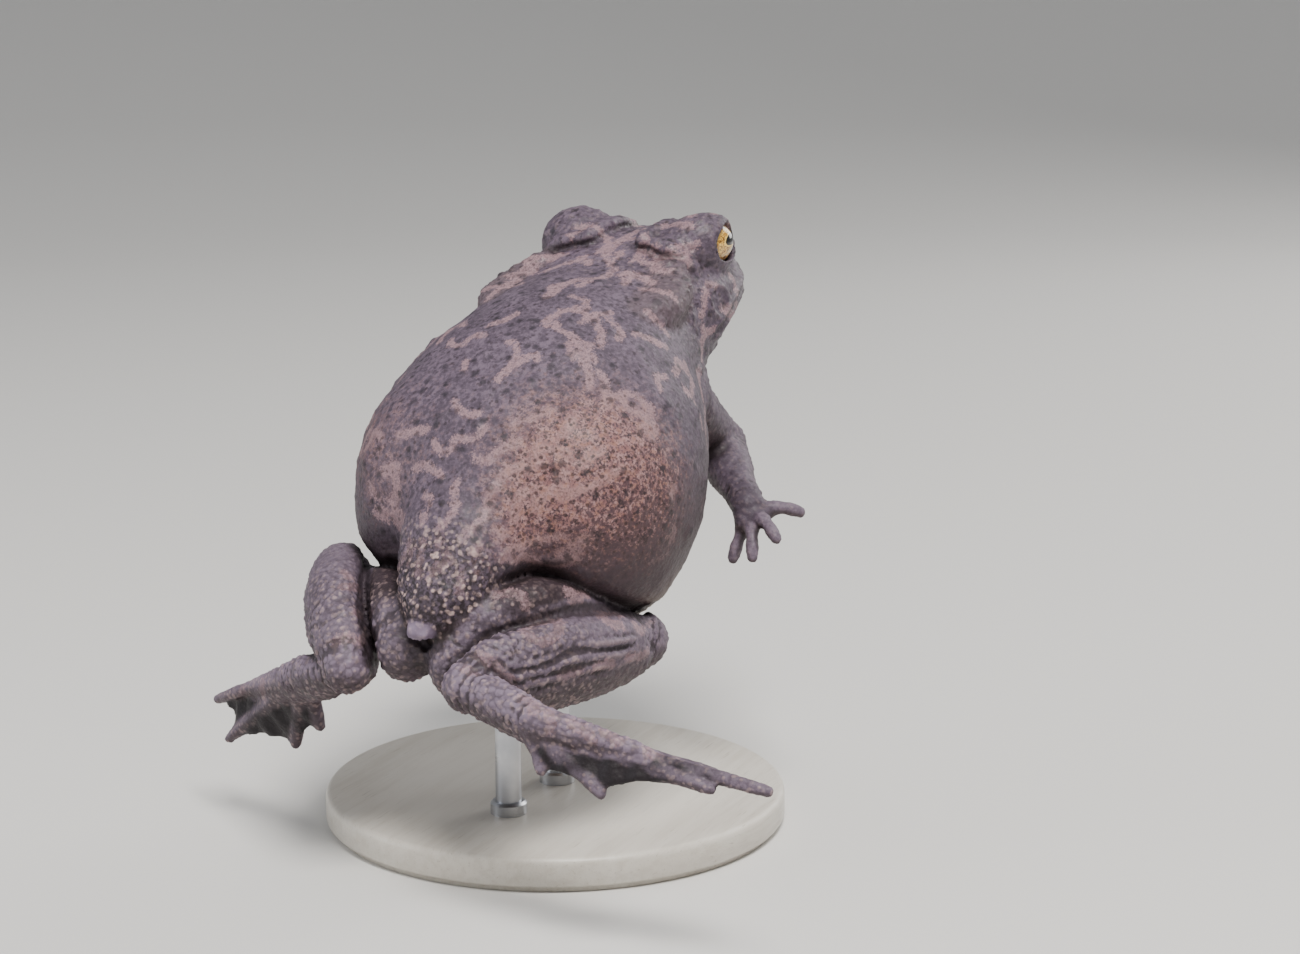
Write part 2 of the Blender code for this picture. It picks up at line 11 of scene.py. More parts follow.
import bpy
import numpy as np
from mathutils import Matrix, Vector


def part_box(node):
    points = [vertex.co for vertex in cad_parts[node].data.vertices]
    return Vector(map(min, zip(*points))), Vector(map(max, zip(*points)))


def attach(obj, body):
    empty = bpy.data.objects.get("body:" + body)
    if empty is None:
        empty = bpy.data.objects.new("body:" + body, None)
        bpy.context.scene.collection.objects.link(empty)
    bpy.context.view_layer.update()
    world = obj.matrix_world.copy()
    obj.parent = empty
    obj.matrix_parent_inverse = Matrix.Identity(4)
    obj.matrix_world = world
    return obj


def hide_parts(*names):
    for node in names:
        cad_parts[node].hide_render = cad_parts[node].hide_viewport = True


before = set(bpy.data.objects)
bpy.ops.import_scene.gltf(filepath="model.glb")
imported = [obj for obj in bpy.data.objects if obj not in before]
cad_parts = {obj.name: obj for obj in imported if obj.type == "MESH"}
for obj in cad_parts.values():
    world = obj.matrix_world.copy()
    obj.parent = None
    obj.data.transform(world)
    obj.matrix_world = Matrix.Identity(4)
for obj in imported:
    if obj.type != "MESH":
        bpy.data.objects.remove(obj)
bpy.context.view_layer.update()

MM = 0.001
TINY = 1e-6
HANDS = (1, -1)

# The photograph's view, for a frame of 1300 by 954 pixels
PHOTO_WIDTH = 1300
PHOTO_FOCAL = 2766.0
SENSOR_WIDTH = 36.0
CAMERA_YAW = math.radians(24.0)
CAMERA_PITCH = math.radians(11.8)
CAMERA_PLACE = np.array((-203.3, 416.1, 157.1))

# The toad's frame, as the solids have it
SPINE_PITCH = math.radians(27)
VENT = np.array((0.0, 44.0, 48.0))
FORWARD = np.array((0.0, -math.cos(SPINE_PITCH), math.sin(SPINE_PITCH)))
RIGHT = np.array((-1.0, 0.0, 0.0))
UP = np.array((0.0, math.sin(SPINE_PITCH), math.cos(SPINE_PITCH)))
NECK_BEND = 0.0042
NECK_BEND_START = 60.0

# Grid of the distance field
GRID_LOW = (-26.0, -61.0, -43.0)
GRID_HIGH = (104.0, 66.0, 24.0)
GRID_STEP = 0.5
SKIN_TRIANGLES = 192_000
FAR = 9.0
JOIN_ROOM = 4.0
CARVE_ROOM = 2.0
LEAST_RADIUS = 0.25

# Widths of the soft seams where shapes join or are cut away
BLEND = {
    "body": 0.6, "vent": 1.0, "flank": 4.0, "gland": 1.6, "shank": 0.5, "tarsus": 0.6, "foot": 1.2,
    "web": 0.7, "digit": 0.9, "fore": 1.2, "palm": 1.0, "crest": 1.0, "canthus": 2.5, "lore": 2.0,
    "brow": 2.2, "lids": 1.2, "crown": 2.5, "lip": 0.9, "mouth": 0.5, "hole": 0.3,
}
HIP_SEAM = (3.0, 0.5, 1.0, 9.0)
SHOULDER_SEAM = (3.0, 0.8, -8.0, -16.0)

# Body sections: distance from the vent, rise of the axis, half width, height above, depth below
BODY_SECTIONS = [
    (-4.2, -1.2, 0.5, 0.4, 0.4),
    (-3.0, -1.0, 3.2, 2.8, 2.8),
    (2.0, -0.5, 7.0, 5.8, 5.2),
    (9.0, 0.0, 10.0, 9.4, 8.5),
    (17.0, -0.5, 13.6, 13.4, 12.5),
    (25.0, -1.5, 21.5, 18.5, 19.5),
    (34.0, -3.0, 27.6, 22.5, 24.5),
    (44.0, -3.5, 28.8, 24.0, 25.5),
    (54.0, -2.0, 26.0, 22.0, 24.0),
    (63.0, 0.0, 21.5, 18.5, 20.0),
    (71.0, 1.5, 19.0, 15.0, 15.5),
    (79.0, 2.6, 18.9, 12.8, 12.6),
    (85.0, 2.6, 17.8, 12.0, 10.6),
    (91.0, 1.8, 15.4, 10.2, 8.0),
    (95.5, 0.8, 12.2, 8.5, 6.0),
    (98.6, 0.0, 8.4, 6.2, 4.2),
    (100.4, -0.4, 4.4, 3.4, 2.3),
    (101.1, -0.5, 0.6, 0.5, 0.4),
]
SECTION_POWER = 2.15
FLANK_PLACE = (33.0, 14.3, -5.5)
FLANK_SIZE = (18.5, 14.2, 20.5)

# Limbs. The left side is given with right > 0 too.
RIGHT_LEG = {
    "thigh": [(-3.2, 4.4, -9.6), (6.0, 9.4, -6.9), (14.6, 15.4, -12.0), (20.6, 19.2, -18.6)],
    "knee": (24.0, 22.3, -24.8),
    "heel": (-9.2, 8.4, -7.6),
    "ankle": (-15.0, 23.6, -8.0),
    "toes": [
        (-20.0, 25.0, -12.5),
        (-22.0, 35.6, -13.6),
        (-19.0, 52.5, -12.5),
        (-17.5, 61.0, -12.9),
        (-15.4, 51.9, -13.0),
    ],
}
LEFT_LEG = {
    "thigh": [(-1.0, 6.4, -8.8), (5.5, 10.5, -9.0), (13.0, 19.5, -12.0), (19.0, 26.0, -15.0)],
    "knee": (23.6, 31.4, -17.0),
    "heel": (-6.4, 14.8, -9.6),
    "ankle": (-0.2, 30.8, -20.6),
    "toes": [
        (-0.2, 29.2, -30.3),
        (-0.3, 35.4, -35.4),
        (2.5, 51.3, -39.2),
        (8.9, 56.4, -36.6),
        (5.0, 51.0, -31.5),
    ],
}
THIGH_SIZE = [(5.2, 5.6), (7.0, 6.8), (6.2, 6.4), (5.0, 5.4), (4.2, 4.6)]
SHANK_SIZE = [(4.6, 5.4), (6.2, 8.4), (6.8, 9.3), (6.0, 7.8), (3.8, 4.4)]
SHANK_STATIONS = (0.0, 0.25, 0.5, 0.8, 1.0)
SHANK_BOW = 1.9
TARSUS_SIZE = [(3.6, 4.0), (3.2, 4.2), (2.3, 3.2)]
FOOT_SIZE = [(2.9, 4.0), (2.7, 3.8), (2.2, 3.1), (1.4, 1.7)]
FOOT_START = 0.6
FOOT_STATIONS = (0.22, 0.48)
TOE_SAG = 0.8
TOE_SPREAD = 1.8
TOE_RADII = (1.75, 1.3, 1.35, 1.0, 1.1, 0.9)
WEB_THICKNESS = 1.1
WEB_REACH = (0.94, 0.95, 0.93, 0.95)
WEB_NOTCH = 0.1
WEB_FOLD = 0.35
WEB_SIDE = 0.3
GROOVE_WIDTH = 1.3
FLANK_GROOVE = 0.7
FLANK_GROOVE_SPAN = (3.0, 10.0)
SHANK_GROOVE = 1.9
TARSUS_GROOVE = 0.6
RIGHT_ARM = {
    "shoulder": (65.0, 15.0, -6.0),
    "elbow": (75.5, 15.5, -23.5),
    "wrist": (59.5, 27.8, -23.2),
    "fingers": [(52.5, 26.5, -30.0), (50.5, 31.3, -27.5), (52.5, 35.5, -24.5), (61.6, 36.5, -25.8)],
}
LEFT_ARM = {
    "shoulder": (65.0, 15.0, -6.0),
    "elbow": (77.0, 18.0, -22.0),
    "wrist": (63.0, 33.0, -25.0),
    "fingers": [(56.0, 33.0, -32.0), (58.5, 39.0, -33.5), (64.0, 42.5, -31.0), (68.5, 41.5, -26.0)],
}
UPPER_ARM_SIZE = [(6.4, 6.4), (5.2, 5.4), (4.2, 4.4)]
FOREARM_STATIONS = (0.0, 0.35, 0.75, 1.0)
FOREARM_SIZE = [(4.2, 4.4), (4.3, 4.5), (3.2, 3.3), (2.6, 2.7)]
PALM_SIZE = [(2.6, 2.7), (2.8, 2.7), (3.6, 2.2)]
FINGER_RADII = (1.55, 1.25, 1.35, 1.05, 1.2, 1.0)
FINGER_ARCH = 0.8
PALM_START = 0.85
PALM_END = 0.35
KNUCKLE_SHARE = 0.7
KNUCKLE_REACH = 1.2

# Head
CORNEA_ANGLE = math.radians(48)
CORNEA_SWELL = 0.35
EYE_SLACK = 0.05
EYE_PLACE = np.array((87.4, 12.2, 11.2))
EYE_RADIUS = 4.7
EYE_ROWS = 49
EYE_SIDES = 72
PUPIL_STRETCH = 1.75
GAZE = np.array((0.30, 0.93, 0.16))
LID_THICKNESS = 1.2
LID_OPENING = (4.1, 3.25)
LID_UPRIGHT = (0.12, 0.0, 1.0)
LID_DROP = 0.35
LID_EDGE = 0.6
SOCKET_ROOM = 0.08
PAROTOID_LINE = [(62.5, 13.8, 12.6), (67.0, 14.8, 11.6), (72.0, 14.2, 11.4), (76.5, 12.2, 12.6)]
PAROTOID_WIDTHS = (3.4, 4.4, 4.2, 3.2)
PAROTOID_FLATNESS = 0.78
CREST_RADII = (0.7, 1.3, 1.25)
CREST_INNER = [(93.6, 5.2, 11.0), (88.0, 4.8, 14.6), (81.4, 5.2, 15.9)]
CREST_REAR = [(81.4, 5.2, 15.9), (80.6, 10.0, 14.9), (80.4, 14.5, 11.4)]
CANTHUS = [(91.5, 9.6, 8.6), (94.6, 6.4, 7.6), (97.6, 3.6, 6.0)]
CANTHUS_RADII = (1.8, 1.6, 1.2)
LORE_PLACE, LORE_SIZE = (93.5, 14.6, 5.4), (4.5, 2.2, 2.6)
BROW_PLACE, BROW_SIZE = (86.2, 9.6, 12.2), (6.0, 4.6, 4.2)
CROWN_PLACE, CROWN_SIZE = (87.0, 0.0, 17.6), (8.0, 3.6, 3.0)
TYMPANUM_PLACE = np.array((80.0, 18.4, 4.8))
TYMPANUM_RADIUS = 2.7
TYMPANUM_RIM = 0.42
TYMPANUM_RIM_WIDTH = 0.45
TYMPANUM_HOLLOW = 0.35
NOSTRIL_PLACE = (97.5, 3.5, 6.2)
NOSTRIL_SIZE = (0.9, 0.55, 0.75)
MOUTH_DROP = 1.6
MOUTH_CORNER = 76.5
MOUTH_TIP = 0.1
MOUTH_GROOVE = 0.85
MOUTH_PROUD = 0.9
LIP_RADIUS = 0.75
LIP_SHIFTS = (0.75, -0.7)

# Markings. A place on the body is (along, degrees from the middle of the back to the right).
BACK_MARKS = [
    [(24.5, -42), (24.6, -38), (24.7, -32), (24.7, -26)],
    [(22.8, -8), (22.8, -2), (23.3, 4), (24.2, 6), (25.1, 7)],
    [(22.3, -21), (21.2, -18), (20.6, -13), (21.2, -9), (22.0, -8)],
    [(20.2, 5), (19.9, 12), (20.3, 17), (21.6, 19), (22.7, 22), (23.6, 26), (24.2, 27)],
    [(29.4, -14), (28.0, -11), (27.1, -6), (26.8, -2), (27.3, 1)],
    [(28.1, 26), (29.0, 27), (30.0, 29), (30.5, 31)],
    [(26.0, 20), (27.1, 21)],
    [(19.3, -36), (19.2, -29), (18.4, -22), (17.0, -13)],
    [(16.2, 1), (14.9, 1), (13.4, 3), (12.3, 7), (10.6, 7), (9.4, 3), (8.7, -1), (6.8, 1), (5.8, 2)],
    [(7.6, 27), (8.7, 26), (10.2, 31), (12.2, 33), (13.8, 31), (15.4, 27), (16.6, 29), (18.0, 29), (19.2, 29),
     (20.1, 32), (21.2, 36), (21.0, 40), (22.0, 41)],
    [(22.9, 37), (24.2, 36), (24.1, 39), (24.3, 43), (24.4, 48), (22.9, 50), (21.5, 53)],
    [(14.6, 53), (15.7, 48), (17.2, 45), (18.3, 46), (19.2, 48)],
    [(19.2, 55), (19.9, 56), (19.7, 62)],
    [(18.1, 55), (17.3, 57)],
    [(11.4, 47), (11.8, 54), (10.4, 54)],
    [(7.8, 44), (6.8, 45)],
    [(5.1, 15), (4.0, 23), (3.3, 14), (2.6, 7), (1.5, 4)],
    [(6.3, -17), (5.0, -21), (3.3, -21), (2.0, -21), (1.4, -14)],
    [(10.6, -21), (9.3, -21)],
    [(14.1, -24), (12.6, -17)],
    [(19.1, -52), (17.8, -55), (17.1, -60), (16.5, -65), (15.4, -67)],
    [(20.1, -57), (20.4, -53), (20.3, -48)],
    [(3.8, -40), (5.1, -37), (6.0, -33)],
    [(3.3, 44), (2.2, 50), (1.1, 58)],
    [(9.5, 68), (11.5, 71), (13.4, 74), (15.1, 77), (16.0, 78)],
    [(19.5, -68), (18.6, -69), (18.1, -69)],
    [(26.9, 41), (28.7, 41), (29.8, 40)],
    [(23.7, 56), (25.4, 55), (27.0, 56)],
    [(20.9, 62), (22.5, 64), (24.3, 65), (27.2, 65)],
    [(17.4, 82), (16.5, 85)],
]
MARK_HALF_WIDTH = 0.7
HAND_LAID = (33.0, -58.0, 84.0)
WORM_COUNT = 170
WORM_STEPS = 13
WORM_STRIDE = 1.0
WORM_SPAN = (2, 92)
WORM_SIDES = 112
WORM_HEADING = 0.55
WORM_SWAY = 0.42
SEARCH_ROOM = 3.0
# Strokes on the legs and feet, as places in the toad's frame
LEG_MARKS = [
    [(1.3, 14.6, -3.7), (4.0, 14.8, -4.5), (5.8, 16.1, -5.3), (7.3, 17.5, -6.2), (5.5, 18.6, -6.3),
     (3.1, 18.7, -6.5), (1.1, 17.6, -5.8), (0.4, 16.4, -4.5), (1.3, 14.6, -3.7)],
    [(13.9, 22.5, -11.7), (14.6, 23.2, -12.9), (15.7, 23.6, -13.9)],
    [(18.7, 24.5, -16.6), (19.3, 25.1, -18.0), (22.7, 24.9, -19.3), (25.1, 24.7, -20.1)],
    [(14.3, 21.0, -10.6), (17.2, 21.6, -12.3), (17.9, 22.5, -13.4)],
    [(22.5, 22.8, -14.9), (25.5, 22.9, -18.1), (28.1, 22.4, -20.8)],
    [(4.5, 9.2, -0.1), (5.9, 11.7, -0.5), (5.7, 13.5, -1.5), (5.0, 14.1, -2.4)],
    [(12.2, 17.5, -4.9), (13.8, 18.6, -6.6), (15.5, 19.0, -7.8)],
    [(12.0, 18.4, -6.6), (13.7, 19.0, -7.4)],
    [(0.8, 19.8, -12.4), (3.5, 21.0, -13.7)],
    [(6.5, 22.3, -15.6), (8.4, 23.0, -16.2), (9.9, 23.5, -17.5)],
    [(13.4, 24.5, -19.1), (16.1, 25.2, -21.1), (18.2, 25.6, -21.9)],
    [(-6.6, 10.4, -3.0), (-6.8, 12.1, -3.7), (-6.7, 13.7, -4.9)],
    [(-9.3, 9.4, -3.5), (-9.6, 10.9, -3.9)],
    [(-7.1, 14.4, -6.8), (-6.5, 15.1, -8.0)],
    [(-13.6, 20.9, -3.9), (-14.2, 22.7, -4.1), (-15.7, 23.9, -4.4)],
    [(-15.3, 26.0, -4.6), (-16.6, 27.1, -5.3), (-17.4, 26.6, -6.3)],
    [(-15.9, 29.8, -5.5), (-16.4, 32.0, -6.3), (-17.2, 33.4, -7.4)],
    [(-15.6, 34.9, -6.8), (-16.2, 37.3, -7.5)],
    [(-16.2, 42.2, -8.9), (-16.4, 43.6, -9.6)],
    [(4.4, -19.0, -2.2), (5.6, -18.1, -2.9), (7.4, -17.9, -4.8)],
    [(0.5, -14.9, -3.9), (2.2, -15.0, -5.6), (1.5, -13.3, -4.8)],
    [(-5.9, -15.7, -4.6), (-4.5, -14.3, -4.6), (-3.6, -12.9, -6.0), (-0.7, -12.8, -7.5)],
    [(1.1, -39.0, -23.0), (0.9, -39.5, -26.3)],
    [(3.0, -45.3, -27.7), (4.1, -46.6, -31.4)],
    [(8.1, -20.6, -2.3), (7.8, -19.7, -2.6)],
]
LEG_MARK_HALF_WIDTH = 0.95
WARM_PLACE = (24.5, 63.0)
WARM_REACH = (15.0, 44.0)
FAR_FLANK_WARMTH = 0.35
WET_GLOSS = -0.14

# Relief. Lumps are (size, height, seed). A right and a left side are 1 and -1.
LUMPS = ((5.5, 0.5, 1), (2.2, 0.3, 2))
GRAIN_SIZE = 1.25
GRAIN_HEIGHT = 0.10
GRAIN_MORE = {"pelvis": 0.26, "limb": 0.12, "belly": 0.10}
GLAND_PORES = 0.3
WRINKLE_HEIGHT = 0.17
WRINKLE_LENGTH = 1.55
WRINKLE_SWAY = 5.0
ON_SKIN = 0.9
ON_PART = (1.2, 0.2)
LIMB_ROOM = 1.0
CLOSE_REACHES = (0.8, 2.0, 4.0)
HEEL_BEND = 8.0
HEEL_FOLD_COUNT = 17
FURROW_STRETCH = 0.17
FURROW_COUNT = 8.5
FURROW_TURNS = 28
HEEL_FOLD = {1: 0.13, -1: 0.08}
CALF_FURROW = {1: 0.4, -1: 0.12}
WART_COUNT = 46
WART_DRAWS = 900
WART_SPACING = 7.5
WART_SPANS = ((14, 72), (-105, 105), (1.3, 2.2))
WART_HEIGHT = 0.45
TUBERCLE_HEIGHT = 0.28
VENT_LOBE = (-4.0, -0.7, -1.7)
VENT_LOBE_SIZE = (2.0, 2.3, 1.4)

# Studio, in metres. A lamp has its place, width, power and colour.
STUDIO_FLAT = 0.9
STUDIO_CURVE = 2.4
FLOOR_COLOUR = (0.66, 0.65, 0.63, 1)
SKY_COLOUR = (0.86, 0.88, 0.92, 1)
SKY_STRENGTH = 0.5
LAMP_TARGET = np.array((0.0, 0.0, 0.06))
LAMPS = {
    "key": ((-0.25, 0.32, 0.78), 0.30, 11.0, (1.0, 0.97, 0.93)),
    "fill": ((0.75, 0.45, 0.35), 0.6, 3.0, (0.93, 0.96, 1.0)),
    "front": ((-0.35, -0.75, 0.45), 0.6, 4.5, (1.0, 0.98, 0.96)),
}

# Stand
BASE_RADIUS = 40.0
BASE_THICKNESS = 6.0
ROD_RADIUS = 2.2
ROD_BITE = 0.8
COLLAR_HEIGHT = 2.2
COLLAR_WIDTH = 0.9
COLLAR_ROUND = 0.4
COLLAR_GAP = 0.02
BASE_SIDES = 160
ROD_SIDES = 48
SHARP_ANGLE = math.radians(40)
BASE_ROUND = 1.2
BASE_FOOT = 1.0


def to_world(spots):
    """World places in metres of spots in the toad's frame, the neck bent by the square of the way past it."""
    along, right, up = np.asarray(spots, float).T
    bend = NECK_BEND * np.maximum(0.0, along - NECK_BEND_START) ** 2
    world = VENT + np.outer(along, FORWARD) + np.outer(right + bend, RIGHT) + np.outer(up, UP)
    return world * MM


def mirrored(spots, hand):
    """Spots with their second number turned to the left side where hand is -1."""
    return np.asarray(spots, float) * (1.0, hand, 1.0)


def between(start, end, share):
    """The point a share of the way from start to end."""
    return np.asarray(start, float) * (1 - share) + np.asarray(end, float) * share


def unit(vector):
    return np.asarray(vector, float) / np.linalg.norm(vector)


def dot(way, parts):
    """Sum of the products of two rows of numbers or arrays."""
    return sum(a * b for a, b in zip(way, parts))


def away_from(point, places):
    """How far places, one array for each axis, lie from a point along each axis."""
    return [place - start for place, start in zip(places, point)]


def smoothed(stations, steps):
    """Catmull-Rom curve through rows of numbers, with steps rows for each span."""
    rows = np.array(stations, float)
    padded = np.vstack([2 * rows[0] - rows[1], rows, 2 * rows[-1] - rows[-2]])
    a, b, c, d = padded[:-3, None], padded[1:-2, None], padded[2:-1, None], padded[3:, None]
    t = (np.arange(steps) / steps)[None, :, None]
    bow = (2 * a - 5 * b + 4 * c - d) * t**2 + (3 * b - a - 3 * c + d) * t**3
    curve = (2 * b + (c - a) * t + bow) / 2
    return np.vstack([curve.reshape(-1, rows.shape[1]), rows[-1:]])


def ramp(value, low, high):
    """0 below low, 1 above high and a smooth S between them; low may be the greater one."""
    t = np.clip((value - low) / (high - low), 0.0, 1.0)
    return t * t * (3 - 2 * t)


def smooth_min(first, second, blend):
    """The smaller of two distances, rounded where they differ by less than blend."""
    near = np.maximum(blend - np.abs(first - second), 0.0) / blend
    return np.minimum(first, second) - near * near * blend / 4


def ellipsoid(parts, sizes):
    """Scaled radius of places in an ellipsoid, and their distance from it: that radius times itself less one,
    over the length of the radius's slope."""
    reach = np.sqrt(sum((part / size) ** 2 for part, size in zip(parts, sizes))) + TINY
    slope = np.sqrt(sum((part / size**2) ** 2 for part, size in zip(parts, sizes))) + TINY
    return reach, reach * (reach - 1) / slope


def corner_weights(part):
    """The eight corners of a cube, and how much each counts for places inside it: three shares multiplied."""
    for corner in np.ndindex(2, 2, 2):
        yield corner, np.prod(np.where(corner, part, 1 - part), axis=1)


# Shapes of the distance field. Each has its box, low and high, and gives its distance at arrays of places.


class Body:
    """Super-elliptic sections along the spine: the way from the axis less the section's radius that way."""

    def __init__(self, sections):
        self.rows = smoothed(sections, 8)
        self.slope = np.gradient(self.rows[:, 2:].mean(1), self.rows[:, 0])
        wide = self.rows[:, 2:].max()
        self.low = np.array((self.rows[0, 0], -wide, (self.rows[:, 1] - self.rows[:, 4]).min()))
        self.high = np.array((self.rows[-1, 0], wide, (self.rows[:, 1] + self.rows[:, 3]).max()))

    def section(self, along):
        """Rise, half width, height above and depth below at places along the spine."""
        return [np.interp(along, self.rows[:, 0], self.rows[:, column]) for column in (1, 2, 3, 4)]

    def distance(self, along, right, up):
        rise, width, above, below = self.section(along)
        lean = np.interp(along, self.rows[:, 0], self.slope)
        height = up - rise
        tall = np.where(height > 0, above, below)
        share = (np.abs(right) / width) ** SECTION_POWER + (np.abs(height) / tall) ** SECTION_POWER
        reach = np.maximum(share, TINY) ** (1 / SECTION_POWER)
        radius = np.maximum(np.hypot(right, height), 1e-3)
        gap = radius * (1 - 1 / reach) / np.sqrt(1 + lean**2)
        return np.maximum(gap, np.maximum(self.rows[0, 0] - along, along - self.rows[-1, 0]))


class Ball:
    """Ellipsoid with its axes along the toad's frame."""

    def __init__(self, centre, size):
        self.centre, self.size = np.asarray(centre, float), np.asarray(size, float)
        self.low, self.high = self.centre - self.size, self.centre + self.size

    def distance(self, *places):
        return ellipsoid(away_from(self.centre, places), self.size)[1]


class Chain:
    """Elliptic tube along a smooth line: the nearest of its short runs, each a rod with round ends."""

    def __init__(self, points, sizes, steps=3):
        rows = smoothed([(*p, *np.broadcast_to(s, 2)) for p, s in zip(points, sizes)], steps)
        self.points, self.sizes = rows[:, :3], np.maximum(rows[:, 3:], LEAST_RADIUS)
        wide = self.sizes.max(1)[:, None]
        self.low, self.high = (self.points - wide).min(0), (self.points + wide).max(0)
        self.length = np.concatenate([[0], np.cumsum(np.linalg.norm(np.diff(self.points, axis=0), axis=1))])

    def measure(self, *places):
        """Distance, length along the line of the nearest run, and which way round the tube, as its sine."""
        best = None
        for k, (start, end) in enumerate(zip(self.points, self.points[1:])):
            run = end - start
            span = float(run @ run)
            tangent = unit(run)
            side = unit(np.cross(tangent, (0.0, 0.0, 1.0)))
            over = np.cross(side, tangent)
            away = away_from(start, places)
            t = np.clip(dot(run, away) / span, 0.0, 1.0)
            left = [part - t * way for part, way in zip(away, run)]
            wide, tall = (self.sizes[k, i] * (1 - t) + self.sizes[k + 1, i] * t for i in (0, 1))
            x, y, z = (dot(way, left) for way in (side, over, tangent))
            reach, gap = ellipsoid((x, y, z), (wide, tall, np.minimum(wide, tall)))
            far = self.length[k] + t * math.sqrt(span)
            sine = y / tall / reach
            found = (gap, far, sine)
            if best is not None:
                nearer = gap < best[0]
                found = tuple(np.where(nearer, new, old) for new, old in zip(found, best))
            best = found
        return best

    def distance(self, *places):
        return self.measure(*places)[0]


class Web:
    """Membrane on the ruled sheet between two toes: the greater of the way off the sheet less half its
    thickness and the way past its edges, the free one hollowed like a sine. A place's shares along the toes
    and across them solve the sheet's quadratic equation in the plane of the toes."""

    def __init__(self, root_a, tip_a, root_b, tip_b, reach):
        self.corners = [np.asarray(p, float) for p in (root_a, tip_a, root_b, tip_b)]
        self.reach = reach
        stack = np.array(self.corners)
        self.low, self.high = stack.min(0) - 1, stack.max(0) + 1
        toe_a, toe_b = self.corners[1] - self.corners[0], self.corners[3] - self.corners[2]
        self.face = unit(np.cross(toe_a, toe_b))
        self.out = unit(toe_a + toe_b)
        self.out = unit(self.out - self.face * (self.out @ self.face))
        self.across = np.cross(self.face, self.out)

    def distance(self, *places):
        root_a, tip_a, root_b, tip_b = self.corners

        def flat(vector):
            return [dot(way, vector) for way in (self.out, self.across)]

        def cross(one, other):
            return one[0] * other[1] - one[1] * other[0]

        toe, base, skew = flat(tip_a - root_a), flat(root_b - root_a), flat(root_a - tip_a - root_b + tip_b)
        away = flat(away_from(root_a, places))
        square = cross(skew, base)
        middle = cross(toe, base) + cross(away, skew)
        least = cross(away, toe)
        square = math.copysign(max(abs(square), 1e-4), square)
        spread = np.sqrt(np.maximum(middle**2 - 4 * least * square, 0))
        picks = [(-middle - spread) / (2 * square), (-middle + spread) / (2 * square)]
        t = np.where(np.abs(picks[0] - 0.5) < np.abs(picks[1] - 0.5), picks[0], picks[1])
        inner = np.clip(t, 0, 1)
        ray = [way + turn * inner for way, turn in zip(toe, skew)]
        length = np.sqrt(ray[0] ** 2 + ray[1] ** 2)
        s = dot([part - start * inner for part, start in zip(away, base)], ray) / length**2
        sheet = [(a * (1 - inner) + b * inner) * (1 - s) + (c * (1 - inner) + d * inner) * s
                 for a, c, b, d in zip(*self.corners)]
        off = away_from(sheet, places)
        side = dot(self.across, off)
        off = dot(self.face, off) + WEB_FOLD * np.sin(s * length * 1.3 + 4 * inner) * np.sin(math.pi * inner)
        limit = self.reach * (1 - WEB_NOTCH * np.sin(math.pi * inner))
        rim = np.maximum((s - limit) * length, -s * length)
        return np.maximum(np.maximum(np.abs(off) - WEB_THICKNESS / 2, rim), np.abs(side) - WEB_SIDE)


class Lids:
    """Thick shell round the eye with an oval opening: the greater of the way outside the shell and the way
    inside the opening's cone."""

    def __init__(self, hand):
        self.centre = mirrored(EYE_PLACE, hand)
        self.gaze = unit(mirrored(GAZE, hand))
        self.level = unit(np.cross(self.gaze, LID_UPRIGHT))
        self.over = np.cross(self.level, self.gaze)
        self.over = self.over * np.sign(self.over[2])
        self.radius = EYE_RADIUS + LID_THICKNESS
        self.low, self.high = self.centre - self.radius, self.centre + self.radius

    def opening(self, away):
        """How far past the opening's edge a place is, in the plane square to the gaze; far behind the eye."""
        x, y, z = (dot(way, away) for way in (self.level, self.over, self.gaze))
        reach = np.sqrt((x / LID_OPENING[0]) ** 2 + ((y + LID_DROP) / LID_OPENING[1]) ** 2)
        return np.where(z > 0, (reach - 1) * LID_OPENING[1], FAR)

    def distance(self, *places):
        away = away_from(self.centre, places)
        shell = np.sqrt(sum(part**2 for part in away)) - self.radius
        return -smooth_min(-shell, self.opening(away), LID_EDGE)


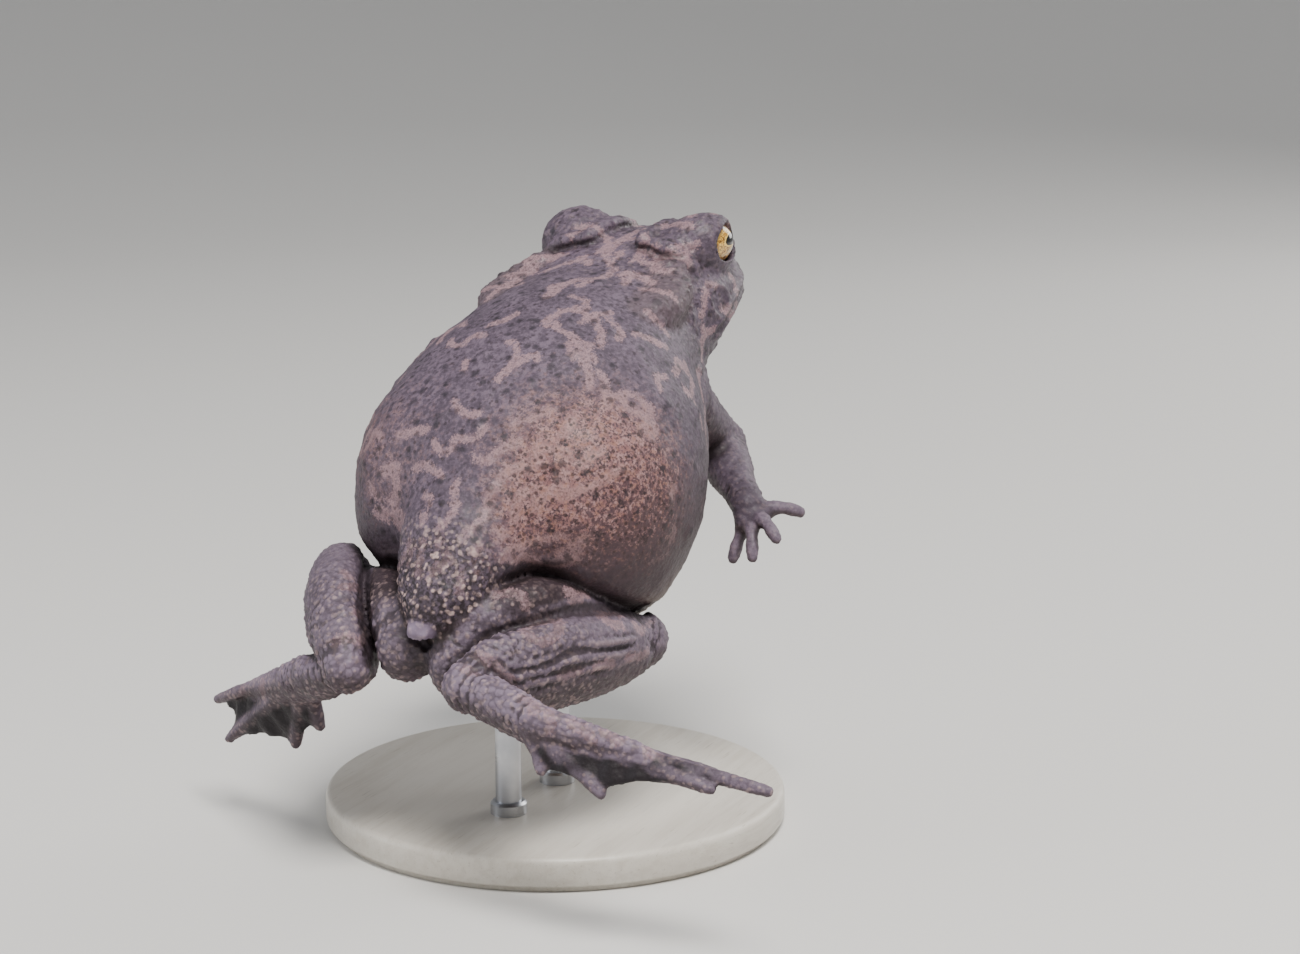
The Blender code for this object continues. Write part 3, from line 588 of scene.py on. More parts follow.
class Field:
    """Distances on a grid in the toad's frame, below zero inside the flesh."""

    def __init__(self, low, high, step):
        self.low, self.step = np.array(low), step
        counts = np.ceil((np.array(high) - self.low) / step).astype(int) + 1
        self.axes = [(self.low[k] + step * np.arange(counts[k])).astype(np.float32) for k in range(3)]
        self.values = np.full(counts, FAR, np.float32)

    def block(self, shape, room):
        """Slices of the grid that hold a shape with room round it, and the places there."""
        first = np.floor((shape.low - room - self.low) / self.step).astype(int)
        last = np.ceil((shape.high + room - self.low) / self.step).astype(int) + 1
        cuts = tuple(slice(max(0, a), max(0, b)) for a, b in zip(first, last))
        lines = [axis[cut] for axis, cut in zip(self.axes, cuts)]
        return cuts, (lines[0][:, None, None], lines[1][None, :, None], lines[2][None, None, :])

    def join(self, shape, blend, groove=None):
        """Adds a shape with a soft seam, whose width is a number or a function of the places. A groove pushes
        the seam inwards by its depth there, times a bell of the difference of the two distances."""
        cuts, places = self.block(shape, JOIN_ROOM)
        here, added = self.values[cuts], shape.distance(*places)
        joined = smooth_min(here, added, blend(*places) if callable(blend) else blend)
        if groove is not None:
            joined = joined + groove(*places) * np.exp(-(((here - added) / GROOVE_WIDTH) ** 2))
        self.values[cuts] = joined

    def carve(self, shape, blend):
        """Takes a shape away with a soft edge."""
        cuts, places = self.block(shape, CARVE_ROOM)
        self.values[cuts] = -smooth_min(-self.values[cuts], shape.distance(*places), blend)

    def sample(self, spots):
        """Distance at any spots, from the eight grid points round each, by how near they are."""
        scaled = (spots - self.low) / self.step
        base = np.clip(np.floor(scaled).astype(int), 0, np.array(self.values.shape) - 2)
        total = np.zeros(len(spots))
        for corner, weight in corner_weights(scaled - base):
            total += weight * self.values[tuple((base + corner).T)]
        return total

    def slope(self, spots):
        """Direction in which the distance grows, from samples half a step to each side."""
        reach = np.eye(3) * self.step / 2
        rise = [(self.sample(spots + way) - self.sample(spots - way)) / self.step for way in reach]
        return np.stack(rise, axis=1)

    def settle(self, spots):
        """Moves spots towards the surface, each along the slope by its distance over the slope's length."""
        for _ in range(2):
            slope = self.slope(spots)
            spots = spots - slope * (self.sample(spots) / np.maximum((slope**2).sum(1), 0.1))[:, None]
        return spots

    def surface(self):
        """Points and quads where the distance is zero: a point in each cell that the surface crosses, at the
        mean of its crossings, and a quad round each grid edge that the surface crosses."""
        values = self.values
        inside = values < 0
        counts = np.array(values.shape) - 1
        corners = list(np.ndindex(2, 2, 2))
        filled = sum(inside[tuple(slice(c, c + n) for c, n in zip(corner, counts))].astype(np.int8)
                     for corner in corners)
        cells = np.argwhere((filled > 0) & (filled < 8))
        index = np.full(counts, -1, np.int32)
        index[tuple(cells.T)] = np.arange(len(cells))
        total, hits = np.zeros((len(cells), 3)), np.zeros(len(cells))
        for corner in corners:
            for axis in range(3):
                if corner[axis]:
                    continue
                way = np.eye(3, dtype=int)[axis]
                here, there = (values[tuple((cells + end).T)] for end in (corner, corner + way))
                crossed = (here < 0) != (there < 0)
                share = np.where(crossed, here / np.where(crossed, here - there, 1), 0)
                total += (cells + corner + share[:, None] * way) * crossed[:, None]
                hits += crossed
        points = self.low + self.step * total / hits[:, None]
        quads = []
        for axis in range(3):
            second, third = (axis + 1) % 3, (axis + 2) % 3
            low_side = np.take(inside, range(counts[axis]), axis)
            high_side = np.take(inside, range(1, counts[axis] + 1), axis)
            edges = np.argwhere(low_side != high_side)
            outwards = low_side[tuple(edges.T)]
            ring = []
            for shift in ((-1, -1), (0, -1), (0, 0), (-1, 0)):
                cell = edges.copy()
                cell[:, second] += shift[0]
                cell[:, third] += shift[1]
                ring.append(index[tuple(cell.T)])
            quad = np.stack(ring, axis=1)
            quads.append(np.where(outwards[:, None], quad[:, ::-1], quad))
        return points, np.vstack(quads)


def digit(root, tip, bow, radii):
    """Finger or toe with a swelling under each joint, bowed at its middle, and a round tip."""
    shares = np.linspace(0, 1, len(radii))
    line = [between(root, tip, share) + bow * math.sin(math.pi * share) for share in shares]
    return Chain(line, radii, steps=2)


def leg_shapes(hand, pose):
    """Thigh, shank, tarsus, foot, toes and webs of one hind leg, as the solids have them."""
    knee, heel, ankle = (mirrored(pose[joint], hand) for joint in ("knee", "heel", "ankle"))
    thigh = Chain([*mirrored(pose["thigh"], hand), knee], THIGH_SIZE)
    bow = np.array((0.0, 0.0, SHANK_BOW))
    shank = Chain([between(knee, heel, t) + bow * math.sin(math.pi * t) for t in SHANK_STATIONS], SHANK_SIZE)
    tarsus = Chain([heel, between(heel, ankle, 0.5), ankle], TARSUS_SIZE)
    tips = mirrored(pose["toes"], hand)
    fan = unit(tips[0] - tips[4])
    roots = [ankle + fan * TOE_SPREAD * (1 - k / 2) for k in range(5)]
    face = unit(np.cross(fan, tips[3] - ankle)) * hand
    foot_end = [between(ankle, tips[3], share) for share in FOOT_STATIONS]
    foot = Chain([between(heel, ankle, FOOT_START), ankle, *foot_end], FOOT_SIZE)
    toes = [digit(root, tip, face * TOE_SAG, TOE_RADII) for root, tip in zip(roots, tips)]
    webs = [Web(roots[k], tips[k], roots[k + 1], tips[k + 1], WEB_REACH[k]) for k in range(4)]
    return thigh, shank, tarsus, foot, toes, webs


def arm_shapes(hand, pose):
    """Upper arm, forearm, palm and fingers of one fore limb, as the solids have them."""
    shoulder, elbow, wrist = (mirrored(pose[joint], hand) for joint in ("shoulder", "elbow", "wrist"))
    upper = Chain([shoulder, between(shoulder, elbow, 0.5), elbow], UPPER_ARM_SIZE)
    fore = Chain([between(elbow, wrist, share) for share in FOREARM_STATIONS], FOREARM_SIZE)
    tips = mirrored(pose["fingers"], hand)
    palm_end = between(wrist, tips.mean(0), PALM_END)
    palm = Chain([between(elbow, wrist, PALM_START), wrist, palm_end], PALM_SIZE)
    arch = FINGER_ARCH * np.array((math.sin(SPINE_PITCH), 0.0, math.cos(SPINE_PITCH)))
    middle = between(wrist, palm_end, KNUCKLE_SHARE)
    knuckles = [middle + unit(tip - palm_end) * KNUCKLE_REACH for tip in tips]
    return upper, fore, palm, [digit(root, tip, arch, FINGER_RADII) for root, tip in zip(knuckles, tips)]


def mouth_bead(body, radius, lift, proud=0.0):
    """Tube along the whole mouth on the body's side, from corner to corner round the snout, lifted from the
    groove and standing proud of the side."""
    turn = np.linspace(0, math.pi / 2, 16)
    along = MOUTH_CORNER + (body.rows[-3, 0] - MOUTH_CORNER) * np.sin(turn)
    rise, width, _, below = body.section(along)
    drop = MOUTH_DROP - lift
    across = width * (1 - np.minimum(drop / below, 0.9) ** SECTION_POWER) ** (1 / SECTION_POWER)
    outward = np.stack([np.sin(turn), np.cos(turn), np.zeros_like(turn)], axis=1)
    half = np.stack([along, across, rise - drop], axis=1) + proud * outward
    tip = (half[-1] + (MOUTH_TIP, 0, 0)) * (1, 0, 1)
    line = np.vstack([half, tip, half[::-1] * (1, -1, 1)])
    return Chain(line, [radius] * len(line), steps=1)


def seam_width(axis, near_width, far_width, start, end):
    """Seam width that goes from near_width to far_width as the place on one axis goes from start to end."""
    return lambda *places: far_width + (near_width - far_width) * ramp(places[axis], end, start)


def flank_groove(*places):
    """Depth of the groove between thigh and flank, which fades in along the body."""
    return FLANK_GROOVE * ramp(places[0], *FLANK_GROOVE_SPAN)


def fold(depth, *ends):
    """A groove of a depth that fades in with the way from each of some (place, near, far)."""
    def groove(*places):
        gaps = [np.sqrt(sum(part**2 for part in away_from(spot, places))) for spot, _, _ in ends]
        return depth * math.prod(ramp(gap, near, far) for gap, (_, near, far) in zip(gaps, ends))
    return groove


def flesh_field(body, legs, arms):
    """The whole toad as one distance field."""
    field = Field(GRID_LOW, GRID_HIGH, GRID_STEP)
    field.join(body, BLEND["body"])
    field.join(Ball(VENT_LOBE, VENT_LOBE_SIZE), BLEND["vent"])
    gland = [(width, width * PAROTOID_FLATNESS) for width in PAROTOID_WIDTHS]
    for hand in HANDS:
        field.join(Ball(mirrored(FLANK_PLACE, hand), FLANK_SIZE), BLEND["flank"])
        field.join(Chain(mirrored(PAROTOID_LINE, hand), gland), BLEND["gland"])
    add_head(field, body)
    for _, (thigh, shank, tarsus, foot, toes, webs) in legs:
        knee, heel = shank.points[0], shank.points[-1]
        field.join(thigh, seam_width(0, *HIP_SEAM), flank_groove)
        field.join(shank, BLEND["shank"], fold(SHANK_GROOVE, (knee, 2.0, 6.0), (heel, 2.0, 6.0)))
        field.join(tarsus, BLEND["tarsus"], fold(TARSUS_GROOVE, (heel, 3.5, 6.0)))
        field.join(foot, BLEND["foot"])
        for kind, shapes in (("web", webs), ("digit", toes)):
            for shape in shapes:
                field.join(shape, BLEND[kind])
    for _, (upper, fore, palm, fingers) in arms:
        field.join(upper, seam_width(2, *SHOULDER_SEAM))
        field.join(fore, BLEND["fore"])
        field.join(palm, BLEND["palm"])
        for finger in fingers:
            field.join(finger, BLEND["digit"])
    return field


def add_head(field, body):
    """Crests, canthus, lips, lids and the cuts for mouth, nostrils and eyes."""
    for hand in HANDS:
        for crest in (CREST_INNER, CREST_REAR):
            field.join(Chain(mirrored(crest, hand), CREST_RADII), BLEND["crest"])
        field.join(Chain(mirrored(CANTHUS, hand), CANTHUS_RADII), BLEND["canthus"])
        field.carve(Ball(mirrored(LORE_PLACE, hand), LORE_SIZE), BLEND["lore"])
        field.join(Ball(mirrored(BROW_PLACE, hand), BROW_SIZE), BLEND["brow"])
        field.join(Lids(hand), BLEND["lids"])
    field.carve(Ball(CROWN_PLACE, CROWN_SIZE), BLEND["crown"])
    for shift in LIP_SHIFTS:
        field.join(mouth_bead(body, LIP_RADIUS, shift), BLEND["lip"])
    field.carve(mouth_bead(body, MOUTH_GROOVE, 0.0, MOUTH_PROUD), BLEND["mouth"])
    for hand in HANDS:
        field.carve(Ball(mirrored(EYE_PLACE, hand), [EYE_RADIUS + SOCKET_ROOM] * 3), BLEND["hole"])
        field.carve(Ball(mirrored(NOSTRIL_PLACE, hand), NOSTRIL_SIZE), BLEND["hole"])


def linked(name, data, side=None, over=None, back=None, place=None):
    """New object of the scene for a mesh, lamp or camera, turned to three directions at a place if given."""
    made = bpy.data.objects.new(name, data)
    bpy.context.scene.collection.objects.link(made)
    if side is not None:
        turned = np.eye(4)
        turned[:3] = np.stack([side, over, back, place], axis=1)
        made.matrix_world = Matrix(turned)
    return made


def new_mesh(name, points, faces):
    """Mesh of points in metres and faces of equal length, from whole arrays."""
    mesh = bpy.data.meshes.new(name)
    faces = np.asarray(faces, np.int32)
    mesh.vertices.add(len(points))
    mesh.vertices.foreach_set("co", np.asarray(points, np.float32).ravel())
    mesh.loops.add(faces.size)
    mesh.loops.foreach_set("vertex_index", faces.ravel())
    mesh.polygons.add(len(faces))
    mesh.polygons.foreach_set("loop_start", np.arange(0, faces.size, faces.shape[1], dtype=np.int32))
    mesh.update(calc_edges=True)
    mesh.validate()
    return mesh


def new_piece(name, mesh, finish, replaced):
    """Object for a finished mesh, riding on the one body, with its finish and the nodes it stands for."""
    made = linked(name, mesh)
    mesh.materials.append(finish)
    mesh.shade_smooth()
    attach(made, "root")
    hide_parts(*replaced)


def thinned(points, quads, triangles):
    """Points and triangles of the surface after Blender's collapse to about a count of triangles."""
    made = linked("thinning", new_mesh("thinning", points, quads))
    change = made.modifiers.new("thin", "DECIMATE")
    change.ratio = min(1.0, triangles / (2 * len(quads)))
    change.use_collapse_triangulate = True
    made.modifiers.new("faces", "TRIANGULATE")
    thin = made.evaluated_get(bpy.context.evaluated_depsgraph_get()).to_mesh()
    spots = np.empty(len(thin.vertices) * 3, np.float32)
    thin.vertices.foreach_get("co", spots)
    corners = np.empty(len(thin.loops), np.int32)
    thin.loops.foreach_get("vertex_index", corners)
    bpy.data.objects.remove(made)
    return spots.reshape(-1, 3).astype(float), corners.reshape(-1, 3)


def lattice(spots, size, seed):
    """Smooth random number from 0 to 1: random values at the corners of cubes, mixed by an S curve."""
    table = np.random.default_rng(seed).random((32, 32, 32))
    scaled = np.asarray(spots) / size
    base = np.floor(scaled).astype(int)
    part = scaled - base
    total = np.zeros(len(scaled))
    for corner, weight in corner_weights(part * part * (3 - 2 * part)):
        total += weight * table[tuple(((base + corner) % 32).T)]
    return total


def pebbles(spots, size, seed):
    """Round grains packed like cobbles: 1 at the middle of each and 0 where two meet, from the nearest two of
    random points, one in each cube of a size."""
    draw = np.random.default_rng(seed).random((32, 32, 32, 3))
    scaled = np.asarray(spots) / size
    base = np.floor(scaled).astype(int)
    first = np.full(len(scaled), FAR)
    second = first.copy()
    for corner in np.ndindex(3, 3, 3):
        cell = base + np.array(corner) - 1
        gap = np.linalg.norm(cell + draw[tuple((cell % 32).T)] - scaled, axis=1)
        second = np.minimum(second, np.maximum(first, gap))
        first = np.minimum(first, gap)
    return ramp(second - first, 0.0, 0.7)


def around(body, spots):
    """Degrees from the middle of the back to the right, and millimetres from the axis, of spots."""
    rise = body.section(spots[:, 0])[0]
    return np.degrees(np.arctan2(spots[:, 1], spots[:, 2] - rise)), np.hypot(spots[:, 1], spots[:, 2] - rise)


def worm_marks(body):
    """Strokes (along, degrees) over the back: each sets out along the body and sways as it goes."""
    draw = np.random.default_rng(23)
    heading = draw.normal(0, WORM_HEADING, (WORM_COUNT, 1))
    heading = heading + np.cumsum(draw.normal(0, WORM_SWAY, (WORM_COUNT, WORM_STEPS)), axis=1)
    along = draw.uniform(*WORM_SPAN, (WORM_COUNT, 1)) + np.cumsum(np.cos(heading), axis=1) * WORM_STRIDE
    radius = np.maximum(body.section(along)[1], 4.0)
    start = draw.uniform(-WORM_SIDES, WORM_SIDES, (WORM_COUNT, 1))
    degrees = start + np.degrees(np.cumsum(np.sin(heading) * WORM_STRIDE / radius, axis=1))
    lengths = draw.integers(3, WORM_STEPS, WORM_COUNT)
    strokes = [np.stack([a[:n], d[:n]], axis=1) for a, d, n in zip(along, degrees, lengths)]
    last, left, right = HAND_LAID
    return [s for s in strokes if not (s[0, 0] < last and left < s[0, 1] < right)]


def stroke_distance(strokes, along, degrees, radius):
    """Millimetres from spots on the body to the nearest stroke, each drawn as close discs along its line."""
    best = np.full(len(along), FAR)
    for stroke in strokes:
        line = smoothed(stroke, 3)
        near = np.abs(along - line[:, 0].mean()) < np.ptp(line[:, 0]) / 2 + SEARCH_ROOM
        spread = np.radians(degrees[near, None] - line[:, 1]) * radius[near, None]
        gap = np.sqrt((along[near, None] - line[:, 0]) ** 2 + spread**2).min(1)
        best[near] = np.minimum(best[near], gap)
    return best


def in_box(spots, low, high, room):
    """Which spots lie in a box with room round it."""
    return np.all((spots > low - room) & (spots < high + room), axis=1)


def line_distance(strokes, spots):
    """Millimetres in space from spots to the nearest stroke, each drawn as close balls along its line."""
    best = np.full(len(spots), FAR)
    for stroke in strokes:
        line = smoothed(stroke, 4)
        near = in_box(spots, line.min(0), line.max(0), SEARCH_ROOM)
        gap = np.linalg.norm(spots[near, None] - line, axis=2).min(1)
        best[near] = np.minimum(best[near], gap)
    return best


def nearest(shapes, spots):
    """Distance from spots to the nearest of some shapes, or FAR where all are well away."""
    best = np.full(len(spots), FAR)
    for shape in shapes:
        near = in_box(spots, shape.low, shape.high, SEARCH_ROOM)
        if near.any():
            best[near] = np.minimum(best[near], shape.distance(*spots[near].T))
    return best


def wart_seeds(body):
    """Places (along, degrees) and radii of warts on the back, drawn one by one, kept where there is room."""
    draw = np.random.default_rng(7)
    kept = []
    for along, degrees, radius in zip(*(draw.uniform(*span, WART_DRAWS) for span in WART_SPANS)):
        round_body = float(body.section(along)[1])
        apart = [math.hypot(along - a, math.radians(degrees - d) * round_body) for a, d, _ in kept]
        if len(kept) < WART_COUNT and min(apart, default=FAR * 2) > WART_SPACING:
            kept.append((along, degrees, radius))
    return kept


def wart_heights(seeds, along, degrees, radius):
    """Height from 0 to 1 of the warts: domes, the square of one less the squared share of the way out."""
    height = np.zeros(len(along))
    for place, turn, size in seeds:
        near = np.abs(along - place) < size
        gap = np.hypot(along[near] - place, np.radians(degrees[near] - turn) * radius[near]) / size
        height[near] = np.maximum(height[near], np.where(gap < 1, (1 - gap**2) ** 2, 0))
    return height


def joint_wrinkles(limb, spots):
    """Creases across the bent ends of a limb, as a sine along it that fades away from its ends."""
    height = np.zeros(len(spots))
    near = in_box(spots, limb.low, limb.high, LIMB_ROOM)
    gap, travel, _ = limb.measure(*spots[near].T)
    edge = np.minimum(travel, limb.length[-1] - travel)
    wave = np.sin(2 * math.pi * (travel / WRINKLE_LENGTH) + WRINKLE_SWAY * lattice(spots[near], 3.0, 5))
    height[near] += np.where(np.abs(gap) < ON_SKIN, wave * ramp(edge, 7.0, 2.0) * ramp(edge, 0.0, 1.2), 0)
    return height


def calf_furrows(limb, spots):
    """Long furrows along the outer side of a shank: a wavering sine round it, and a noise drawn out."""
    height = np.zeros(len(spots))
    near = in_box(spots, limb.low, limb.high, LIMB_ROOM)
    gap, travel, turn = limb.measure(*spots[near].T)
    drawn_out = np.stack([travel * FURROW_STRETCH, turn * FURROW_COUNT, 0 * turn], axis=1)
    wave = 0.7 * np.sin(turn * FURROW_TURNS + 6 * lattice(spots[near], 5.0, 9))
    wave = wave + 1.5 * (lattice(drawn_out, 1.0, 15) - 0.5)
    fade = ramp(travel, 7, 13) * ramp(limb.length[-1] - travel, 4, 10)
    fade = fade * ramp(turn, 0.56, 0.4) * ramp(turn, -0.2, -0.08)
    height[near] = np.where(np.abs(gap) < ON_SKIN, wave * fade, 0)
    return height


def heel_folds(shank, tarsus, spots):
    """Folds that fan out over the heel from the bend of shank and tarsus, as a sine of the angle round it."""
    height = np.zeros(len(spots))
    near = nearest([shank, tarsus], spots) < ON_SKIN
    heel = shank.points[-1]
    up_leg, down_leg = unit(shank.points[0] - heel), unit(tarsus.points[-1] - heel)
    inside = unit(up_leg + down_leg)
    aside = np.cross(unit(np.cross(up_leg, down_leg)), inside)
    away = spots[near] - heel - inside * HEEL_BEND
    level, side = away @ inside, away @ aside
    gap = np.hypot(level, side)
    wave = np.sin(np.arctan2(side, -level) * HEEL_FOLD_COUNT + 3 * lattice(spots[near], 4.0, 12))
    height[near] = wave * ramp(gap, 0.5, 2.0) * ramp(gap, 8.0, 4.5) * ramp(level, 0.5, -1.5)
    return height


def seam_line(first, second, spots, width):
    """Share from 0 to 1 near the line where two sets of shapes meet."""
    one, two = nearest(first, spots), nearest(second, spots)
    return ramp(np.abs(one - two), width, 0.1) * ramp(np.minimum(one, two), 2.5, 1.5)


SKIN_MEASURES = (
    "dorsal", "limb", "low", "under", "belly", "arm", "thigh", "foot", "warm", "pelvis", "mark", "web",
    "crease", "wet", "vent", "gland", "wart", "relief",
)


def skin_measures(body, legs, arms, field, spots):
    """What the relief and the paint need to know at each spot: named arrays, mostly from 0 to 1."""
    along, right, up = spots.T
    degrees, radius = around(body, spots)
    turn = np.abs(degrees)
    swollen = [body] + [Ball(mirrored(FLANK_PLACE, hand), FLANK_SIZE) for hand in HANDS]
    thighs, shanks, tarsi, feet, toes, webs = zip(*(shapes for _, shapes in legs))
    *arm_parts, fingers = zip(*(shapes for _, shapes in arms))
    arm_parts = sum(arm_parts, ())
    to_body, to_web = nearest(swollen, spots), nearest(sum(webs, []), spots)
    to_limb = nearest(thighs + shanks + tarsi + feet + arm_parts, spots)
    to_digit = nearest(sum(toes + fingers, []), spots)
    limb = ramp(to_body - np.minimum(np.minimum(to_limb, to_digit), to_web), -0.5, 0.8)
    # Lines where flank, thigh, shank and tarsus meet, darkened there as painted shade
    seam = np.zeros(len(spots))
    for thigh, shank, tarsus in zip(thighs, shanks, tarsi):
        knee, heel = (ramp(np.linalg.norm(spots - shank.points[end], axis=1), 4.0, 8.0) for end in (0, -1))
        seam = np.maximum(seam, seam_line(swollen + [thigh], [shank], spots, 1.3) * knee * heel)
        seam = np.maximum(seam, seam_line([shank], [tarsus], spots, 1.0) * heel)
    outward = field.slope(spots)
    outward /= np.linalg.norm(outward, axis=1)[:, None]
    # How much flesh lies just outside each spot: painted shade in creases follows it, and it keeps the
    # belly's colour out of them
    close = sum(np.clip(1 - field.sample(spots + outward * reach) / reach, 0, 1) for reach in CLOSE_REACHES)
    close = close / len(CLOSE_REACHES)
    faces_up = outward @ np.array((FORWARD[2], RIGHT[2], UP[2]))
    mark = stroke_distance(BACK_MARKS + worm_marks(body), along, degrees, radius) - MARK_HALF_WIDTH
    mark = mark + FAR * limb + 6 * (1 - ramp(turn, 128, 100))
    mark = np.minimum(mark, line_distance(LEG_MARKS, spots) - LEG_MARK_HALF_WIDTH)
    middle, side = WARM_PLACE
    ahead = (along - middle) / WARM_REACH[0]
    warm = [np.exp(-(ahead**2 + ((degrees - hand * side) / WARM_REACH[1]) ** 2)) for hand in HANDS]
    glands = [Chain(mirrored(PAROTOID_LINE, hand), PAROTOID_WIDTHS) for hand in HANDS]
    body_share = 1 - limb
    return {
        "outward": outward,
        "limb": limb,
        "dorsal": ramp(turn, 118, 96) * body_share,
        # low: the lower sides of the body, darkened there as painted shade
        "low": ramp(turn, 48, 92) * body_share,
        # under: painted shade on the lower flanks and on the down-facing sides of the limbs
        "under": ramp(turn, 74, 112) * body_share * ramp(along, 60, 50) + limb * ramp(faces_up, 0.1, -0.5),
        "belly": ramp(turn, 112, 140) * body_share * ramp(close, 0.75, 0.2) * ramp(along, 100.4, 98.4),
        "arm": ramp(nearest(arm_parts, spots), *ON_PART) * limb,
        # thigh: the part of the thigh away from the shank, where the flank's painted shadow falls
        "thigh": ramp(nearest(thighs, spots), *ON_PART) * ramp(nearest(shanks, spots), 0.0, 0.8)
        * limb * ramp(along, 0.0, 5.0),
        # foot: the upward-facing sides of tarsus and foot, made paler there as painted light
        "foot": ramp(nearest(tarsi + feet, spots), *ON_PART) * ramp(faces_up, -0.3, 0.2),
        "warm": (warm[0] + FAR_FLANK_WARMTH * warm[1]) * body_share,
        "pelvis": ramp(along, 13, 4) * (1 - 0.6 * limb),
        "mark": np.clip(mark, -1.5, 4.0),
        "web": ramp(to_web, 0.9, 0.2) * ramp(np.minimum(to_digit, to_limb), 0.0, 0.7),
        "digit": ramp(to_digit, 1.0, 0.3),
        # crease: painted shade in creases, hollows and the seams between limb parts
        "crease": np.maximum(close, seam),
        "wet": ramp(along, 60, 72) * body_share,
        "vent": ramp(Ball(VENT_LOBE, VENT_LOBE_SIZE).distance(along, right, up), 0.8, 0.1),
        "gland": ramp(nearest(glands, spots), 1.2, 0.0) * ramp(turn, 115, 90),
        "wart": wart_heights(wart_seeds(body), along, degrees, radius) * body_share,
    }


def relief(body, legs, arms, known, spots):
    """Heights in millimetres of the skin's lumps, and of its warts, grains, wrinkles and furrows."""
    limb, web = known["limb"], known["web"]
    lumps = sum(height * (lattice(spots, size, seed) - 0.5) for size, height, seed in LUMPS)
    lumps *= 1 - 0.55 * np.maximum(known["wet"], limb)
    coarse = sum((height * known[name] for name, height in GRAIN_MORE.items()), GRAIN_HEIGHT)
    height = coarse * (pebbles(spots, GRAIN_SIZE, 3) - 0.5) * (1 - web)
    height += WART_HEIGHT * known["wart"]
    joints = [part for _, shapes in legs for part in shapes[:3]]
    joints += [part for _, shapes in arms for part in shapes[:2]]
    height += WRINKLE_HEIGHT * sum(joint_wrinkles(part, spots) for part in joints)
    height += sum(CALF_FURROW[hand] * calf_furrows(shapes[1], spots) for hand, shapes in legs)
    height += sum(HEEL_FOLD[hand] * heel_folds(shapes[1], shapes[2], spots) for hand, shapes in legs)

    def way_to(place, stretch=1.0):
        ways = [(spots - mirrored(place, hand)) * (1, stretch, 1) for hand in HANDS]
        return np.minimum(*(np.linalg.norm(way, axis=1) for way in ways))

    ring = way_to(TYMPANUM_PLACE, 0.5)
    hollow = TYMPANUM_HOLLOW * ramp(ring, TYMPANUM_RADIUS, TYMPANUM_RADIUS - 0.7)
    height += TYMPANUM_RIM * np.exp(-(((ring - TYMPANUM_RADIUS) / TYMPANUM_RIM_WIDTH) ** 2)) - hollow
    height += GLAND_PORES * known["gland"] * (pebbles(spots, 2.0, 8) - 0.5)
    head = ramp(spots[:, 0], 62, 74) * (1 - limb) * (1 - known["belly"])
    height += TUBERCLE_HEIGHT * head * ramp(pebbles(spots, 2.3, 21), 0.55, 1.0)
    near_lip = nearest([mouth_bead(body, LIP_RADIUS, 0.0)], spots)
    share = ramp(way_to(EYE_PLACE), EYE_RADIUS + 0.5, EYE_RADIUS + 1.6)
    share *= 0.25 + 0.75 * ramp(near_lip, 0.5, 2.0)
    share *= (1 - 0.7 * web) * (1 - 0.6 * known["digit"])
    return lumps * share, height * share


def write_measures(mesh, known):
    """Stores the named arrays on the mesh, one number or direction for each point."""
    for name, values in known.items():
        kind, key = ("FLOAT", "value") if values.ndim == 1 else ("FLOAT_VECTOR", "vector")
        mesh.attributes.new(name, kind, "POINT").data.foreach_set(key, values.astype(np.float32).ravel())


def make_skin(finish):
    body = Body(BODY_SECTIONS)
    legs = [(hand, leg_shapes(hand, pose)) for hand, pose in zip(HANDS, (RIGHT_LEG, LEFT_LEG))]
    arms = [(hand, arm_shapes(hand, pose)) for hand, pose in zip(HANDS, (RIGHT_ARM, LEFT_ARM))]
    field = flesh_field(body, legs, arms)
    points, quads = field.surface()
    points, faces = thinned(field.settle(points), quads, SKIN_TRIANGLES)
    points = field.settle(points)
    known = skin_measures(body, legs, arms, field, points)
    lumps, height = relief(body, legs, arms, known, points)
    outward = known.pop("outward")
    mesh = new_mesh("skin", to_world(points + outward * (lumps + height)[:, None]), faces[:, ::-1])
    write_measures(mesh, known | {"relief": height, "place": points})
    limbs = ("thigh", "shank", "tarsus", "foot", "upper_arm", "forearm", "hand")
    nodes = ["torso", "head"] + [f"{limb}_{side}" for limb in limbs for side in ("right", "left")]
    new_piece("skin", mesh, finish, nodes)


def ring_quads(rows, sides):
    """Quads between rows of points that each go round in a number of sides."""
    row, column = np.meshgrid(np.arange(rows - 1) * sides, np.arange(sides), indexing="ij")
    after = (column + 1) % sides
    quads = [row + column, row + sides + column, row + sides + after, row + after]
    return np.stack(quads, axis=2).reshape(-1, 4)


def lathe(profile, sides):
    """Points and quads of a profile of (radius, height) carried round the upright axis; its ends on the axis
    are closed by a small ring."""
    profile = np.maximum(np.asarray(profile, float), (1e-5, -9.0))
    angle = 2 * math.pi * np.arange(sides) / sides
    ring = np.stack([np.cos(angle), np.sin(angle), np.ones(sides)], axis=1)
    points = profile[:, None, (0, 0, 1)] * ring
    return points.reshape(-1, 3), np.roll(ring_quads(len(profile), sides), -1, axis=1)


